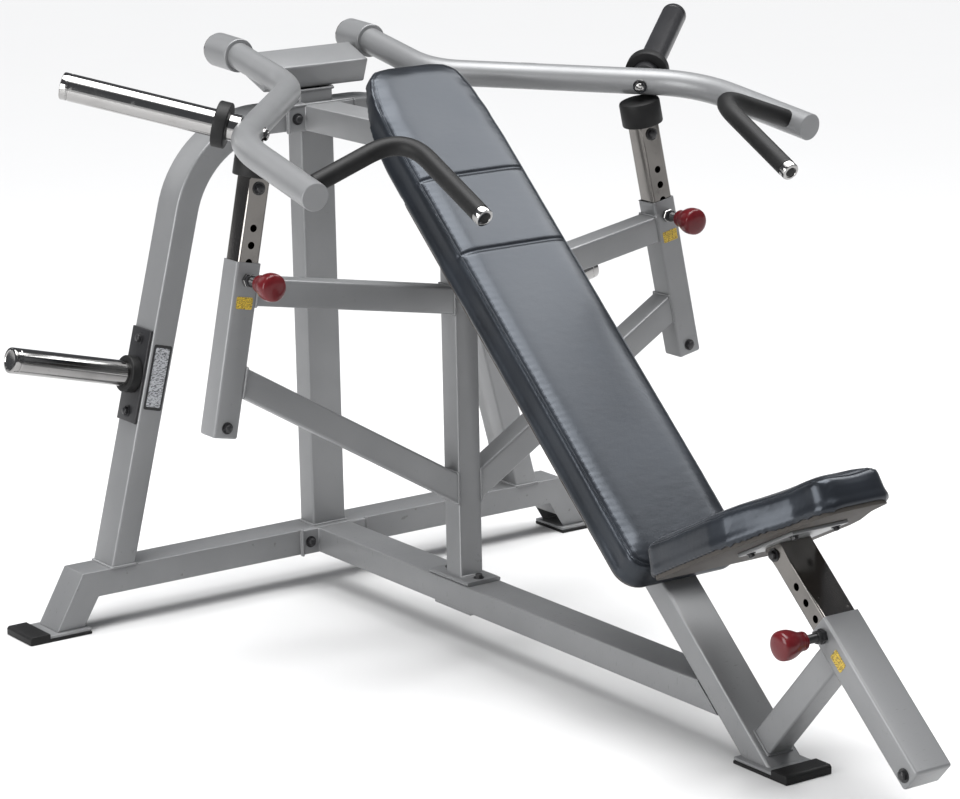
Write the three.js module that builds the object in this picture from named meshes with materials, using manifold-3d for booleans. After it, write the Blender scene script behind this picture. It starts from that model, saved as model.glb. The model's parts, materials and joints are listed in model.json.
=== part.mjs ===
/**
 * Plate-loaded incline press machine: a tubular frame with two converging
 * lever arms, adjustable arm stops, an inclined back pad and a sliding seat.
 *
 * Units are millimetres, +Z is up and the user faces -Y. The origin is on the
 * floor, at the middle of the machine's footprint box.
 */
import * as THREE from 'three';
import * as BufferGeometryUtils from 'three/addons/utils/BufferGeometryUtils.js';
import Module from 'manifold-3d';

const manifold = await Module();
manifold.setup();

// ---------------------------------------------------------------------------
// Driving dimensions
// ---------------------------------------------------------------------------

const GAP = 0.3; // clearance between pieces that touch
const FRAME_ORIGIN_Y = 874.35; // the rear crossbar's centre line in the row's frame
const WIDE = 76.2; // 3 inch side of the frame tube
const NARROW = 50.8; // 2 inch side of the frame tube
const WALL = 3;
const ROUND_R = 25.4; // radius of the lever arms' round tube
const SEGMENTS = 16; // sides of a round section
const PIN_SIDES = 12; // sides of a pin hole
const THROUGH = 5; // how far a cutting tool reaches past what it cuts
const JOIN_OVERLAP = 1; // how far two joined shapes run into each other

const CROSSBAR = { top: 118.5, topHalf: 570, bottomHalf: 538, footOuter: 631, footInner: 572 };
const FOOT = {
  length: 133, halfWidth: 50, inner: 562, capStart: 652, rubber: 6, plateTop: 12, capTop: 17,
  chamfer: 4, plateHalfWidth: 48,
};
const FRONT_FOOT = { rear: -1386, capStart: -1488, front: -1530 };

const UPRIGHT = { halfDepth: 25.4 };
const HEAD = { halfWidth: 116.5, y: 7.7, z: 1040, tilt: THREE.MathUtils.degToRad(21) };
const LEG = { baseX: 480.7, lean: THREE.MathUtils.degToRad(14.4), bendRadius: 204.6, topZ: 950 };
const FLANGE = { halfWidth: 76, thick: 6 };
const TOP_TUBE_Z = 949;
const DRAIN_R = 5; // radius of the drain hole in the head's underside
const SPACER_HEIGHT = 46; // the block between the top flange and the upright

const INCLINE = { angle: THREE.MathUtils.degToRad(41.6), y: -600, z: 872.5 };
const INCLINE_TUBE = { face: -66.3, upperEnd: 190 };
const BACK_PAD = {
  thick: 66, halfWidth: 131, top: 336, bottom: -838, corner: 46, board: 12,
  taperFrom: 130, topFlat: 46, topPull: 50, sidePull: 22, boardTop: 90, thinFrom: 100, thinEnd: 38,
};
const SEAT_TUBE = { normal: 229, top: -1126, bottom: -1438 };
const SEAT_POST = {
  width: 68, height: 43, wall: 2.5, top: -900, bottom: -1290, pitch: 33, pin: -1147,
};
const STRUT_ALONG = -1173;
const SEAT = {
  y: -1501.5, z: 426, tilt: THREE.MathUtils.degToRad(26.5), thick: 67, board: 12,
  rear: 256, front: -183, rearHalf: 152, frontHalf: 80, corner: 40, shoulder: 45, waist: 56,
  bracket: 6, bracketWidth: 120, bracketLength: 160, bracketAlong: 20,
};

const PAD_ROUND = 14; // radius of the pads' edges
const BOARD_INSET = 6; // how far a pad's board lies inside the pad's outline

const POST_Y = -507; // plane of the centre post, cross arms, braces and stops
const POST_PLATE = { thick: 8, length: 130, clampWidth: 60, clampLength: 120 };
const CROSS_ARM = { z: 659, rise: THREE.MathUtils.degToRad(10) };
const BRACE = { z: 286, rise: THREE.MathUtils.degToRad(31) };
const STOP = {
  x: 529.5, z: 480, lean: THREE.MathUtils.degToRad(11.4), length: 321, postWidth: 44, postWall: 2.5,
  postTop: 473, postBottom: 150, pitch: 31, pin: 290,
};
const BUMPER = { radius: 39.5, height: 47.7 };
const PIN = {
  stemR: 8, holeR: 8.8, nose: -2.6, stem: 38, postHoleR: 7,
  nut: { radius: 13, from: 1, to: 9 },
  body: { radius: 11, to: 16 },
};
const KNOB_PROFILE = [ // radius and height above the plunger's end
  [12, 0], [16, 4], [17, 14], [23, 28], [26, 42], [24, 53], [15, 60], [0, 61],
];

const PIVOT = {
  x: 152, rearY: 87, frontY: 8, z: 1081, tilt: THREE.MathUtils.degToRad(3), outerR: 33, boreR: 22,
  shaftR: 19, washerR: 30, washerFrom: -7, washerTo: -1,
};
const ARM = {
  start: [152, 12, 1077], elbow: [158, -192, 1037], bend: [511, -585, 1022], end: [540, -881, 972],
  cornerReach: [62, 90], steps: 36,
};
const HANDLE = {
  radius: 17, bend: [337, -848, 1052], end: [331, -1079, 938.5], cap: 14, capR: 16.5,
  cornerReach: 80, steps: 20,
};
const HANDLE_ROOT_ALONG = 0.857; // where the handle leaves the arm's front stretch
const SLEEVE = {
  radius: 25, end: [690, -277.5, 1107.5], from: 12, endWall: 6, collarR: 42, collarFrom: 40, collarTo: 64,
};
const SLEEVE_ROOT_ALONG = 0.793; // where the weight sleeve leaves the arm's side stretch
const PEG = {
  plateZ: 483, plateLength: 184, plateWidth: 70, plateThick: 6, length: 272, collarR: 36, collar: 22,
};

// ---------------------------------------------------------------------------
// Materials
// ---------------------------------------------------------------------------

const FINISHES = {
  frame: { color: 0xa9abac, roughness: 0.42, metalness: 0.35 },
  chrome: { color: 0xd5d6d8, roughness: 0.12, metalness: 1 },
  vinyl: { color: 0x1c1f24, roughness: 0.38, metalness: 0 },
  rubber: { color: 0x141414, roughness: 0.75, metalness: 0 },
  board: { color: 0x6e6259, roughness: 0.85, metalness: 0 },
  knob: { color: 0x6d1420, roughness: 0.3, metalness: 0 },
  plate: { color: 0x1b1c1e, roughness: 0.5, metalness: 0.2 },
};

/** A mesh named `name` with a material of its own in one of the finishes. */
function named(name, geometry, finish) {
  const mesh = new THREE.Mesh(geometry, new THREE.MeshStandardMaterial(FINISHES[finish]));
  mesh.name = name;
  return mesh;
}

// ---------------------------------------------------------------------------
// Solids
// ---------------------------------------------------------------------------

/** A closed three.js geometry as a manifold-3d solid. */
function toSolid(geometry) {
  const plain = geometry.clone();
  plain.deleteAttribute('normal');
  plain.deleteAttribute('uv');
  const merged = BufferGeometryUtils.mergeVertices(plain, 1e-4);
  const mesh = new manifold.Mesh({
    numProp: 3,
    vertProperties: new Float32Array(merged.attributes.position.array),
    triVerts: new Uint32Array(merged.index.array),
  });
  return new manifold.Manifold(mesh);
}

/** A manifold-3d solid as a three.js geometry. */
function toGeometry(solid) {
  const mesh = solid.getMesh();
  const geometry = new THREE.BufferGeometry();
  geometry.setAttribute('position', new THREE.BufferAttribute(mesh.vertProperties, 3));
  geometry.setIndex(new THREE.BufferAttribute(mesh.triVerts, 1));
  return geometry;
}

/** `geometry` with every one of `tools` cut away. */
function cut(geometry, tools) {
  return toGeometry(tools.reduce((left, tool) => left.subtract(toSolid(tool)), toSolid(geometry)));
}

/** All of `geometries` joined to one solid. */
function join(geometries) {
  return toGeometry(geometries.map(toSolid).reduce((whole, piece) => whole.add(piece)));
}

/** A point of the right-hand side, moved to the side given by +1 or -1. */
const onSide = (side, [x, y, z]) => new THREE.Vector3(side * x, y, z);

/** A matrix that lays local +Z along `direction` at `origin`, with local +Y nearest `up`. */
function frameAt(origin, direction, up) {
  const zAxis = direction.clone().normalize();
  const xAxis = up.clone().cross(zAxis).normalize();
  const yAxis = zAxis.clone().cross(xAxis);
  return new THREE.Matrix4().makeBasis(xAxis, yAxis, zAxis).setPosition(origin);
}

/** A box from its size and its middle. */
function block([width, depth, height], [x, y, z]) {
  return new THREE.BoxGeometry(width, depth, height).translate(x, y, z);
}

/** A cutting box that fills everything on the side of `point` that `normal` points to. */
function beyond(point, normal) {
  const size = 4000;
  const tool = new THREE.BoxGeometry(size, size, size).translate(0, 0, size / 2);
  const up = Math.abs(normal.z) > 0.9 ? new THREE.Vector3(0, 1, 0) : new THREE.Vector3(0, 0, 1);
  return tool.applyMatrix4(frameAt(point, normal, up));
}

/** A rectangular tube with open ends along +Z, from `start` to `end`. */
function rectangularTube(width, height, start, end, wall = WALL) {
  const outline = (w, h, path) => path.moveTo(-w / 2, -h / 2).lineTo(w / 2, -h / 2)
    .lineTo(w / 2, h / 2).lineTo(-w / 2, h / 2).closePath();
  const section = outline(width, height, new THREE.Shape());
  section.holes.push(outline(width - 2 * wall, height - 2 * wall, new THREE.Path()));
  const tube = new THREE.ExtrudeGeometry(section, { depth: end - start, bevelEnabled: false });
  return tube.translate(0, 0, start);
}

/** A flat plate that closes a rectangular tube's end, from `start` to `end` along +Z. */
function endPlate(width, height, start, end) {
  const middle = [0, 0, (start + end) / 2];
  return block([width - JOIN_OVERLAP, height - JOIN_OVERLAP, end - start], middle);
}

/** A rectangular tube from `from` towards `to`, drawn long and cut off by each box of `ends`. */
function trimmedTube(width, height, from, to, up, ends) {
  const along = to.clone().sub(from);
  const slack = 200;
  const tube = rectangularTube(width, height, -slack, along.length() + slack);
  return cut(tube.applyMatrix4(frameAt(from, along, up)), ends);
}

/** A solid extruded along Y from a closed shape drawn in X and Z. */
function extrudedAlongY(shape, depth) {
  const solid = new THREE.ExtrudeGeometry(shape, { depth, bevelEnabled: false, curveSegments: 10 });
  return solid.rotateX(Math.PI / 2).translate(0, depth / 2, 0);
}

/** A closed shape through points given as [x, z] pairs. */
function polygon(points) {
  return new THREE.Shape(points.map(([x, z]) => new THREE.Vector2(x, z)));
}

/** A round section with `sides` sides. */
function disc(radius, sides = SEGMENTS) {
  const points = Array.from({ length: sides }, (_, k) => {
    const angle = (k + 0.5) * 2 * Math.PI / sides;
    return new THREE.Vector2(radius * Math.cos(angle), radius * Math.sin(angle));
  });
  return new THREE.Shape(points);
}

/** A round bar along +Z from `start` to `end`. */
function roundBar(radius, start, end, sides = SEGMENTS) {
  const options = { depth: end - start, bevelEnabled: false };
  return new THREE.ExtrudeGeometry(disc(radius, sides), options).translate(0, 0, start);
}

/** A round bar along +Z with a bore of radius `bore` from `boreStart` to `boreEnd`. */
function boredBar(radius, start, end, bore, boreStart, boreEnd, sides = 24) {
  return cut(roundBar(radius, start, end, sides), [roundBar(bore, boreStart, boreEnd, sides)]);
}

/** A line through `points`, each inner corner rounded over the `reach` given for it. */
function bentPath(points, reach) {
  const path = new THREE.CurvePath();
  let last = points[0];
  for (let k = 1; k < points.length - 1; k += 1) {
    const corner = points[k];
    const before = corner.clone().add(points[k - 1].clone().sub(corner).setLength(reach[k - 1]));
    const after = corner.clone().add(points[k + 1].clone().sub(corner).setLength(reach[k - 1]));
    path.add(new THREE.LineCurve3(last, before));
    path.add(new THREE.QuadraticBezierCurve3(before, corner, after));
    last = after;
  }
  path.add(new THREE.LineCurve3(last, points[points.length - 1]));
  return path;
}

/** A round bar swept along a path. */
function swept(path, radius, steps, sides) {
  return new THREE.ExtrudeGeometry(disc(radius, sides), { steps, extrudePath: path, bevelEnabled: false });
}

/** A rounded rectangle in X and Y. */
function roundedRectangle(left, right, bottom, top, radius) {
  const shape = new THREE.Shape();
  shape.moveTo(left + radius, bottom).lineTo(right - radius, bottom);
  shape.absarc(right - radius, bottom + radius, radius, -Math.PI / 2, 0, false);
  shape.lineTo(right, top - radius);
  shape.absarc(right - radius, top - radius, radius, 0, Math.PI / 2, false);
  shape.lineTo(left + radius, top);
  shape.absarc(left + radius, top - radius, radius, Math.PI / 2, Math.PI, false);
  shape.lineTo(left, bottom + radius);
  shape.absarc(left + radius, bottom + radius, radius, Math.PI, 1.5 * Math.PI, false);
  return shape;
}

/** A pad: `shape` extruded along Z from 0 to `thick` with its edges rounded. */
function cushion(shape, thick) {
  const options = {
    depth: thick - 2 * PAD_ROUND, bevelThickness: PAD_ROUND, bevelSize: PAD_ROUND,
    bevelOffset: -PAD_ROUND, bevelSegments: 3, curveSegments: 5,
  };
  return new THREE.ExtrudeGeometry(shape, options).translate(0, 0, PAD_ROUND);
}

// ---------------------------------------------------------------------------
// Base: crossbar, feet, beam
// ---------------------------------------------------------------------------

/** Outline of the crossbar and its two sloping ends, drawn `inset` inside its skin. */
function crossbarOutline(inset) {
  const { top, topHalf, bottomHalf, footOuter, footInner } = CROSSBAR;
  const floor = inset ? 0 : FOOT.plateTop + GAP;
  const cornerShift = inset * 0.6;
  const right = [
    [bottomHalf + cornerShift, top - NARROW + inset],
    [footInner + inset, floor],
    [footOuter - inset, floor],
    [topHalf - cornerShift, top - inset],
  ];
  const left = right.map(([x, z]) => [-x, z]).reverse();
  return polygon([...right, ...left]);
}

function baseCrossbar() {
  const skin = extrudedAlongY(crossbarOutline(0), WIDE);
  const hollow = extrudedAlongY(crossbarOutline(WALL), WIDE - 2 * WALL);
  return named('base_crossbar', cut(skin, [hollow]), 'frame');
}

/** A rubber foot along +X: a slab under the steel plate and a raised block past its end. */
function rubberFoot(start, capStart, end) {
  const { capTop, chamfer, rubber, halfWidth } = FOOT;
  const profile = polygon([
    [start, 0], [end, 0], [end, capTop - chamfer], [end - chamfer, capTop],
    [capStart, capTop], [capStart, rubber], [start, rubber],
  ]);
  return extrudedAlongY(profile, 2 * halfWidth);
}

const FOOT_PLATE_HEIGHT = FOOT.plateTop - FOOT.rubber - GAP;
const FOOT_PLATE_Z = FOOT.plateTop - FOOT_PLATE_HEIGHT / 2;

function rearFoot(side, label) {
  const cap = rubberFoot(FOOT.inner, FOOT.capStart, FOOT.inner + FOOT.length);
  if (side < 0) cap.rotateZ(Math.PI);
  const length = FOOT.capStart - FOOT.inner - GAP;
  const middle = [side * (FOOT.inner + length / 2), 0, FOOT_PLATE_Z];
  const plate = block([length, 2 * FOOT.plateHalfWidth, FOOT_PLATE_HEIGHT], middle);
  return [named(`${label}_foot_plate`, plate, 'frame'), named(`${label}_foot_cap`, cap, 'rubber')];
}

function frontFoot() {
  const { rear, capStart, front } = FRONT_FOOT;
  const cap = rubberFoot(-rear, -capStart, -front).rotateZ(-Math.PI / 2);
  const length = rear - capStart - GAP;
  const middle = [0, rear - length / 2, FOOT_PLATE_Z];
  const plate = block([2 * FOOT.plateHalfWidth, length, FOOT_PLATE_HEIGHT], middle);
  return [named('front_foot_plate', plate, 'frame'), named('front_foot_cap', cap, 'rubber')];
}

/** A point of the back pad's frame: along the slope, and out from the pad's face. */
function onIncline(along, normal) {
  const { angle, y, z } = INCLINE;
  const sin = Math.sin(angle);
  const cos = Math.cos(angle);
  return new THREE.Vector3(0, y + along * cos - normal * sin, z + along * sin + normal * cos);
}

const INCLINE_UP = new THREE.Vector3(0, Math.cos(INCLINE.angle), Math.sin(INCLINE.angle));
const INCLINE_OUT = new THREE.Vector3(0, -Math.sin(INCLINE.angle), Math.cos(INCLINE.angle));
const INCLINE_UNDERSIDE = INCLINE_TUBE.face - NARROW - GAP;
const Y_REAR = new THREE.Vector3(0, 1, 0);
const Z_UP = new THREE.Vector3(0, 0, 1);
const Z_DOWN = new THREE.Vector3(0, 0, -1);

/** A horizontal tube that runs forward from a bolted flange to the inclined tube. */
function flangedTube(name, z, spacer = []) {
  const back = -WIDE / 2 - GAP;
  const from = new THREE.Vector3(0, back - FLANGE.thick + JOIN_OVERLAP, z);
  const to = new THREE.Vector3(0, FRONT_FOOT.rear, z);
  const ends = [beyond(onIncline(0, INCLINE_UNDERSIDE), INCLINE_OUT), beyond(from, Y_REAR)];
  const tube = trimmedTube(WIDE, NARROW, from, to, Z_UP, ends);
  const plateMiddle = [0, back - FLANGE.thick / 2, z];
  const plate = block([2 * FLANGE.halfWidth, FLANGE.thick, NARROW], plateMiddle);
  return named(name, join([tube, plate, ...spacer]), 'frame');
}

/** The top tube, with a short spacer between its flange and the upright's front wall. */
function topTube() {
  const flangeBack = -WIDE / 2 - GAP;
  const uprightFront = -UPRIGHT.halfDepth - GAP;
  const depth = uprightFront - flangeBack + JOIN_OVERLAP;
  const middle = [0, uprightFront - depth / 2, TOP_TUBE_Z];
  return flangedTube('top_tube', TOP_TUBE_Z, [block([NARROW, depth, SPACER_HEIGHT], middle)]);
}

// ---------------------------------------------------------------------------
// Mast: upright, head, curved rear legs, top tube
// ---------------------------------------------------------------------------

const HEAD_OUT = new THREE.Vector3(0, -Math.sin(HEAD.tilt), Math.cos(HEAD.tilt));

function mainUpright() {
  const from = new THREE.Vector3(0, 0, CROSSBAR.top + GAP);
  const to = new THREE.Vector3(0, 0, HEAD.z);
  const underside = new THREE.Vector3(0, HEAD.y, HEAD.z).addScaledVector(HEAD_OUT, -NARROW / 2 - GAP);
  const ends = [beyond(from, Z_DOWN), beyond(underside, HEAD_OUT)];
  const tube = trimmedTube(WIDE, 2 * UPRIGHT.halfDepth, from, to, Y_REAR, ends);
  return named('main_upright', tube, 'frame');
}

function headBox() {
  const { halfWidth, y, z, tilt } = HEAD;
  const closed = join([
    rectangularTube(NARROW, WIDE, -halfWidth, halfWidth),
    endPlate(NARROW, WIDE, -halfWidth, -halfWidth + WALL),
    endPlate(NARROW, WIDE, halfWidth - WALL, halfWidth),
  ]).rotateY(Math.PI / 2);
  const drain = roundBar(DRAIN_R, -NARROW, 0, PIN_SIDES);
  const head = named('head_box', cut(closed, [drain]), 'frame');
  head.position.set(0, y, z);
  head.rotation.x = tilt;
  return head;
}

/** Outline of a curved leg in X and Z, its skin moved in by `inset` and its ends drawn out. */
function legOutline(inset) {
  const { baseX, lean, bendRadius, topZ } = LEG;
  const half = NARROW / 2 - inset;
  const slack = inset ? 20 : 0;
  const baseZ = CROSSBAR.top + GAP;
  const centreZ = topZ - bendRadius;
  const centreX = baseX - Math.tan(lean) * (centreZ - baseZ) - bendRadius / Math.cos(lean);
  const atBase = (offset) => {
    const x = baseX + offset / Math.cos(lean) + Math.tan(lean) * slack;
    return [x, baseZ - slack];
  };
  const outer = bendRadius + half;
  const inner = bendRadius - half;
  const headX = WIDE / 2 + GAP - slack;
  const shape = new THREE.Shape();
  shape.moveTo(...atBase(-half)).lineTo(...atBase(half));
  shape.lineTo(centreX + outer * Math.cos(lean), centreZ + outer * Math.sin(lean));
  shape.absarc(centreX, centreZ, outer, lean, Math.PI / 2, false);
  shape.lineTo(headX, topZ + half).lineTo(headX, topZ - half);
  shape.lineTo(centreX, topZ - half).absarc(centreX, centreZ, inner, Math.PI / 2, lean, true);
  shape.lineTo(...atBase(-half));
  return shape;
}

function rearLeg(side, label) {
  const skin = extrudedAlongY(legOutline(0), WIDE);
  const hollow = extrudedAlongY(legOutline(WALL), WIDE - 2 * WALL);
  const leg = named(`${label}_rear_leg`, cut(skin, [hollow]), 'frame');
  if (side < 0) leg.rotation.z = Math.PI;
  return leg;
}

// ---------------------------------------------------------------------------
// Inclined tube, centre post, seat sleeve
// ---------------------------------------------------------------------------

function inclineTube() {
  const { face, upperEnd } = INCLINE_TUBE;
  const middle = face - NARROW / 2;
  const from = onIncline(STRUT_ALONG, middle);
  const to = onIncline(upperEnd, middle);
  const footPlate = new THREE.Vector3(0, 0, FOOT.plateTop + GAP);
  const ends = [beyond(footPlate, Z_DOWN), beyond(onIncline(upperEnd, 0), INCLINE_UP)];
  const tube = trimmedTube(WIDE, NARROW, from, to, INCLINE_OUT, ends);
  const place = frameAt(to, to.clone().sub(from), INCLINE_OUT);
  const plate = endPlate(WIDE, NARROW, -WALL, 0).applyMatrix4(place);
  return named('incline_tube', join([tube, plate]), 'frame');
}

function centerPost() {
  const { thick, length, clampWidth, clampLength } = POST_PLATE;
  const beamTop = CROSSBAR.top + GAP;
  const beamUnderside = CROSSBAR.top - NARROW - GAP;
  const from = new THREE.Vector3(0, POST_Y, beamTop + thick - JOIN_OVERLAP);
  const to = new THREE.Vector3(0, POST_Y, TOP_TUBE_Z);
  const ends = [beyond(from, Z_DOWN), beyond(onIncline(0, INCLINE_UNDERSIDE), INCLINE_OUT)];
  const tube = trimmedTube(NARROW, NARROW, from, to, Y_REAR, ends);
  const plate = block([WIDE, length, thick], [0, POST_Y, beamTop + thick / 2]);
  const clamp = block([clampWidth, clampLength, thick], [0, POST_Y, beamUnderside - thick / 2]);
  return [named('center_post', join([tube, plate]), 'frame'), named('post_clamp_plate', clamp, 'frame')];
}

function seatStrut() {
  const low = INCLINE_TUBE.face + GAP;
  const high = SEAT_TUBE.normal - NARROW / 2 - GAP;
  const from = onIncline(STRUT_ALONG, low);
  const to = onIncline(STRUT_ALONG, high);
  const ends = [beyond(from, INCLINE_OUT.clone().negate()), beyond(to, INCLINE_OUT)];
  return named('seat_strut', trimmedTube(NARROW, NARROW, from, to, INCLINE_UP, ends), 'frame');
}

/** A pin hole through the -X wall of the seat's tubes. */
function seatPinHole(radius, along) {
  return roundBar(radius, -WIDE, 0, PIN_SIDES).rotateY(Math.PI / 2)
    .translate(0, along, SEAT_TUBE.normal);
}

function seatSleeve() {
  const { normal, top, bottom } = SEAT_TUBE;
  const tube = join([
    rectangularTube(WIDE, NARROW, -top, -bottom),
    endPlate(WIDE, NARROW, -bottom - WALL, -bottom),
  ]);
  const placed = tube.rotateX(Math.PI / 2).translate(0, 0, normal);
  return named('seat_sleeve', cut(placed, [seatPinHole(PIN.holeR, SEAT_POST.pin)]), 'frame');
}

/** What lies above the seat bracket's underside, in the back pad's frame. */
function aboveSeatBracket() {
  const { y, z, tilt, bracket } = SEAT;
  const toIncline = (vector) => new THREE.Vector3(0, vector.dot(INCLINE_UP), vector.dot(INCLINE_OUT));
  const out = new THREE.Vector3(0, Math.sin(tilt), Math.cos(tilt));
  const seatOrigin = new THREE.Vector3(0, y - INCLINE.y, z - INCLINE.z);
  const point = seatOrigin.addScaledVector(out, -bracket - 2 * GAP);
  return beyond(toIncline(point), toIncline(out));
}

function seatPost() {
  const { width, height, wall, top, bottom, pitch, pin } = SEAT_POST;
  const tube = rectangularTube(width, height, -top, -bottom, wall).rotateX(Math.PI / 2);
  const holes = [-2, -1, 0, 1, 2, 3].map((k) => seatPinHole(PIN.postHoleR, pin + k * pitch));
  const tools = [...holes, aboveSeatBracket()];
  return named('seat_post', cut(tube.translate(0, 0, SEAT_TUBE.normal), tools), 'chrome');
}

// ---------------------------------------------------------------------------
// Cross arms, braces and the adjustable stops
// ---------------------------------------------------------------------------

/** The plane of a stop sleeve's inner face, which the cross arm and brace run up to. */
function stopInnerFace(side) {
  const { x, z, lean } = STOP;
  const out = new THREE.Vector3(side * Math.cos(lean), 0, Math.sin(lean));
  const point = new THREE.Vector3(side * x, POST_Y, z).addScaledVector(out, -NARROW / 2 - GAP);
  return beyond(point, out);
}

/** A tube from the centre post out and up to a stop sleeve. */
function outrigger(name, side, { z, rise }) {
  const from = new THREE.Vector3(0, POST_Y, z);
  const to = new THREE.Vector3(side * STOP.x, POST_Y, z + STOP.x * Math.tan(rise));
  const postSide = new THREE.Vector3(side * (NARROW / 2 + GAP), 0, 0);
  const ends = [stopInnerFace(side), beyond(postSide, new THREE.Vector3(-side, 0, 0))];
  return named(name, trimmedTube(NARROW, NARROW, from, to, Z_UP, ends), 'frame');
}

/** A group whose +Z runs up one stop's leaning axis, from the sleeve's lower end. */
function stopFrame(side) {
  const group = new THREE.Group();
  group.position.set(side * STOP.x, POST_Y, STOP.z);
  group.rotation.y = -side * STOP.lean;
  return group;
}

/** A pin hole through the front wall of a stop's tubes. */
function stopPinHole(radius, height) {
  return roundBar(radius, 0, NARROW, PIN_SIDES).rotateX(Math.PI / 2).translate(0, 0, height);
}

function stop(side, label) {
  const group = stopFrame(side);
  const { length, postWidth, postWall, postTop, postBottom, pitch, pin } = STOP;
  const tube = join([
    rectangularTube(NARROW, NARROW, 0, length),
    endPlate(NARROW, NARROW, 0, WALL),
  ]);
  const sleeve = cut(tube, [stopPinHole(PIN.holeR, pin)]);
  const holes = [-1, 0, 1, 2, 3].map((k) => stopPinHole(PIN.postHoleR, pin + k * pitch));
  const post = cut(rectangularTube(postWidth, postWidth, postBottom, postTop, postWall), holes);
  group.add(named(`${label}_stop_sleeve`, sleeve, 'frame'));
  group.add(named(`${label}_stop_post`, post, 'chrome'));
  const seating = postTop + GAP;
  const bumper = roundBar(BUMPER.radius, seating, seating + BUMPER.height);
  group.add(named(`${label}_stop_bumper`, bumper, 'rubber'));
  return group;
}

// ---------------------------------------------------------------------------
// Pull pins
// ---------------------------------------------------------------------------

/** A pull pin along +Z, standing on the face of a sleeve at z = 0. */
function pullPin(label) {
  const { stemR, nose, stem, nut, body } = PIN;
  const plunger = join([
    roundBar(stemR, nose, stem, SEGMENTS),
    roundBar(nut.radius, nut.from, nut.to, 6),
    roundBar(body.radius, nut.to, body.to, SEGMENTS),
  ]);
  const profile = [[0, 0], ...KNOB_PROFILE].map(([r, height]) => new THREE.Vector2(r, height));
  const knob = new THREE.LatheGeometry(profile, SEGMENTS).rotateX(Math.PI / 2);
  knob.translate(0, 0, stem + GAP);
  return [
    named(`${label}_pin_plunger`, plunger, 'plate'),
    named(`${label}_pin_knob`, knob, 'knob'),
  ];
}

function stopPin(side, label) {
  const group = stopFrame(side);
  const pin = new THREE.Group();
  pin.position.set(0, -NARROW / 2, STOP.pin);
  pin.rotation.x = Math.PI / 2;
  pin.add(...pullPin(`${label}_stop`));
  group.add(pin);
  return group;
}

function seatPin() {
  const pin = new THREE.Group();
  pin.position.set(-WIDE / 2, SEAT_POST.pin, SEAT_TUBE.normal);
  pin.rotation.y = -Math.PI / 2;
  pin.add(...pullPin('seat'));
  return pin;
}

// ---------------------------------------------------------------------------
// Pads
// ---------------------------------------------------------------------------

/** A cutting tool for the pocket in a pad's underside, and the board that fills it. */
function boardIn(shape, thick) {
  const slab = (inset, depth) => new THREE.ExtrudeGeometry(
    shape(inset),
    { depth, bevelEnabled: false, curveSegments: 4 },
  );
  const pocket = slab(BOARD_INSET, thick + THROUGH).translate(0, 0, -THROUGH);
  return [pocket, slab(BOARD_INSET + GAP, thick - GAP)];
}

/** The back pad's outline: square-set at the bottom, drawn in by long curves at the top. */
function backOutline() {
  const { halfWidth, top, bottom, corner, taperFrom, topFlat, topPull, sidePull } = BACK_PAD;
  const shoulder = halfWidth - sidePull;
  const shape = new THREE.Shape();
  shape.moveTo(-halfWidth + corner, bottom).lineTo(halfWidth - corner, bottom);
  shape.absarc(halfWidth - corner, bottom + corner, corner, -Math.PI / 2, 0, false);
  shape.lineTo(halfWidth, taperFrom);
  shape.bezierCurveTo(halfWidth, top - topPull, shoulder, top, topFlat, top);
  shape.lineTo(-topFlat, top);
  shape.bezierCurveTo(-shoulder, top, -halfWidth, top - topPull, -halfWidth, taperFrom);
  shape.lineTo(-halfWidth, bottom + corner);
  shape.absarc(-halfWidth + corner, bottom + corner, corner, Math.PI, 1.5 * Math.PI, false);
  return shape;
}

function backPad() {
  const { thick, halfWidth, top, bottom, corner, board, boardTop, thinFrom, thinEnd } = BACK_PAD;
  const outline = (inset) => {
    const side = halfWidth - inset;
    return roundedRectangle(-side, side, bottom + inset, boardTop - inset, corner - inset / 2);
  };
  const [pocket, plank] = boardIn(outline, board);
  const slope = Math.atan2(thinEnd, top - thinFrom);
  const under = new THREE.Vector3(0, Math.sin(slope), -Math.cos(slope));
  const thinned = beyond(new THREE.Vector3(0, thinFrom, 0), under);
  const pad = cut(cushion(backOutline(), thick), [pocket, thinned]);
  const group = new THREE.Group();
  group.position.z = -thick;
  group.add(named('back_pad', pad, 'vinyl'), named('back_board', plank, 'board'));
  return group;
}

/** The seat's outline: a wide rear half that narrows through a waist to the nose. */
function seatOutline(inset) {
  const { rear, front, rearHalf, frontHalf, corner, shoulder, waist } = SEAT;
  const wide = rearHalf - inset;
  const nose = frontHalf - inset;
  const back = rear - inset;
  const tip = front + inset;
  const round = corner - inset / 2;
  const shape = new THREE.Shape();
  shape.moveTo(-nose + round, tip).lineTo(nose - round, tip);
  shape.absarc(nose - round, tip + round, round, -Math.PI / 2, 0, false);
  shape.bezierCurveTo(nose, tip + round + waist, wide, shoulder - waist, wide, shoulder);
  shape.lineTo(wide, back - round);
  shape.absarc(wide - round, back - round, round, 0, Math.PI / 2, false);
  shape.lineTo(-wide + round, back);
  shape.absarc(-wide + round, back - round, round, Math.PI / 2, Math.PI, false);
  shape.lineTo(-wide, shoulder);
  shape.bezierCurveTo(-wide, shoulder - waist, -nose, tip + round + waist, -nose, tip + round);
  shape.absarc(-nose + round, tip + round, round, Math.PI, 1.5 * Math.PI, false);
  return shape;
}

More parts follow.
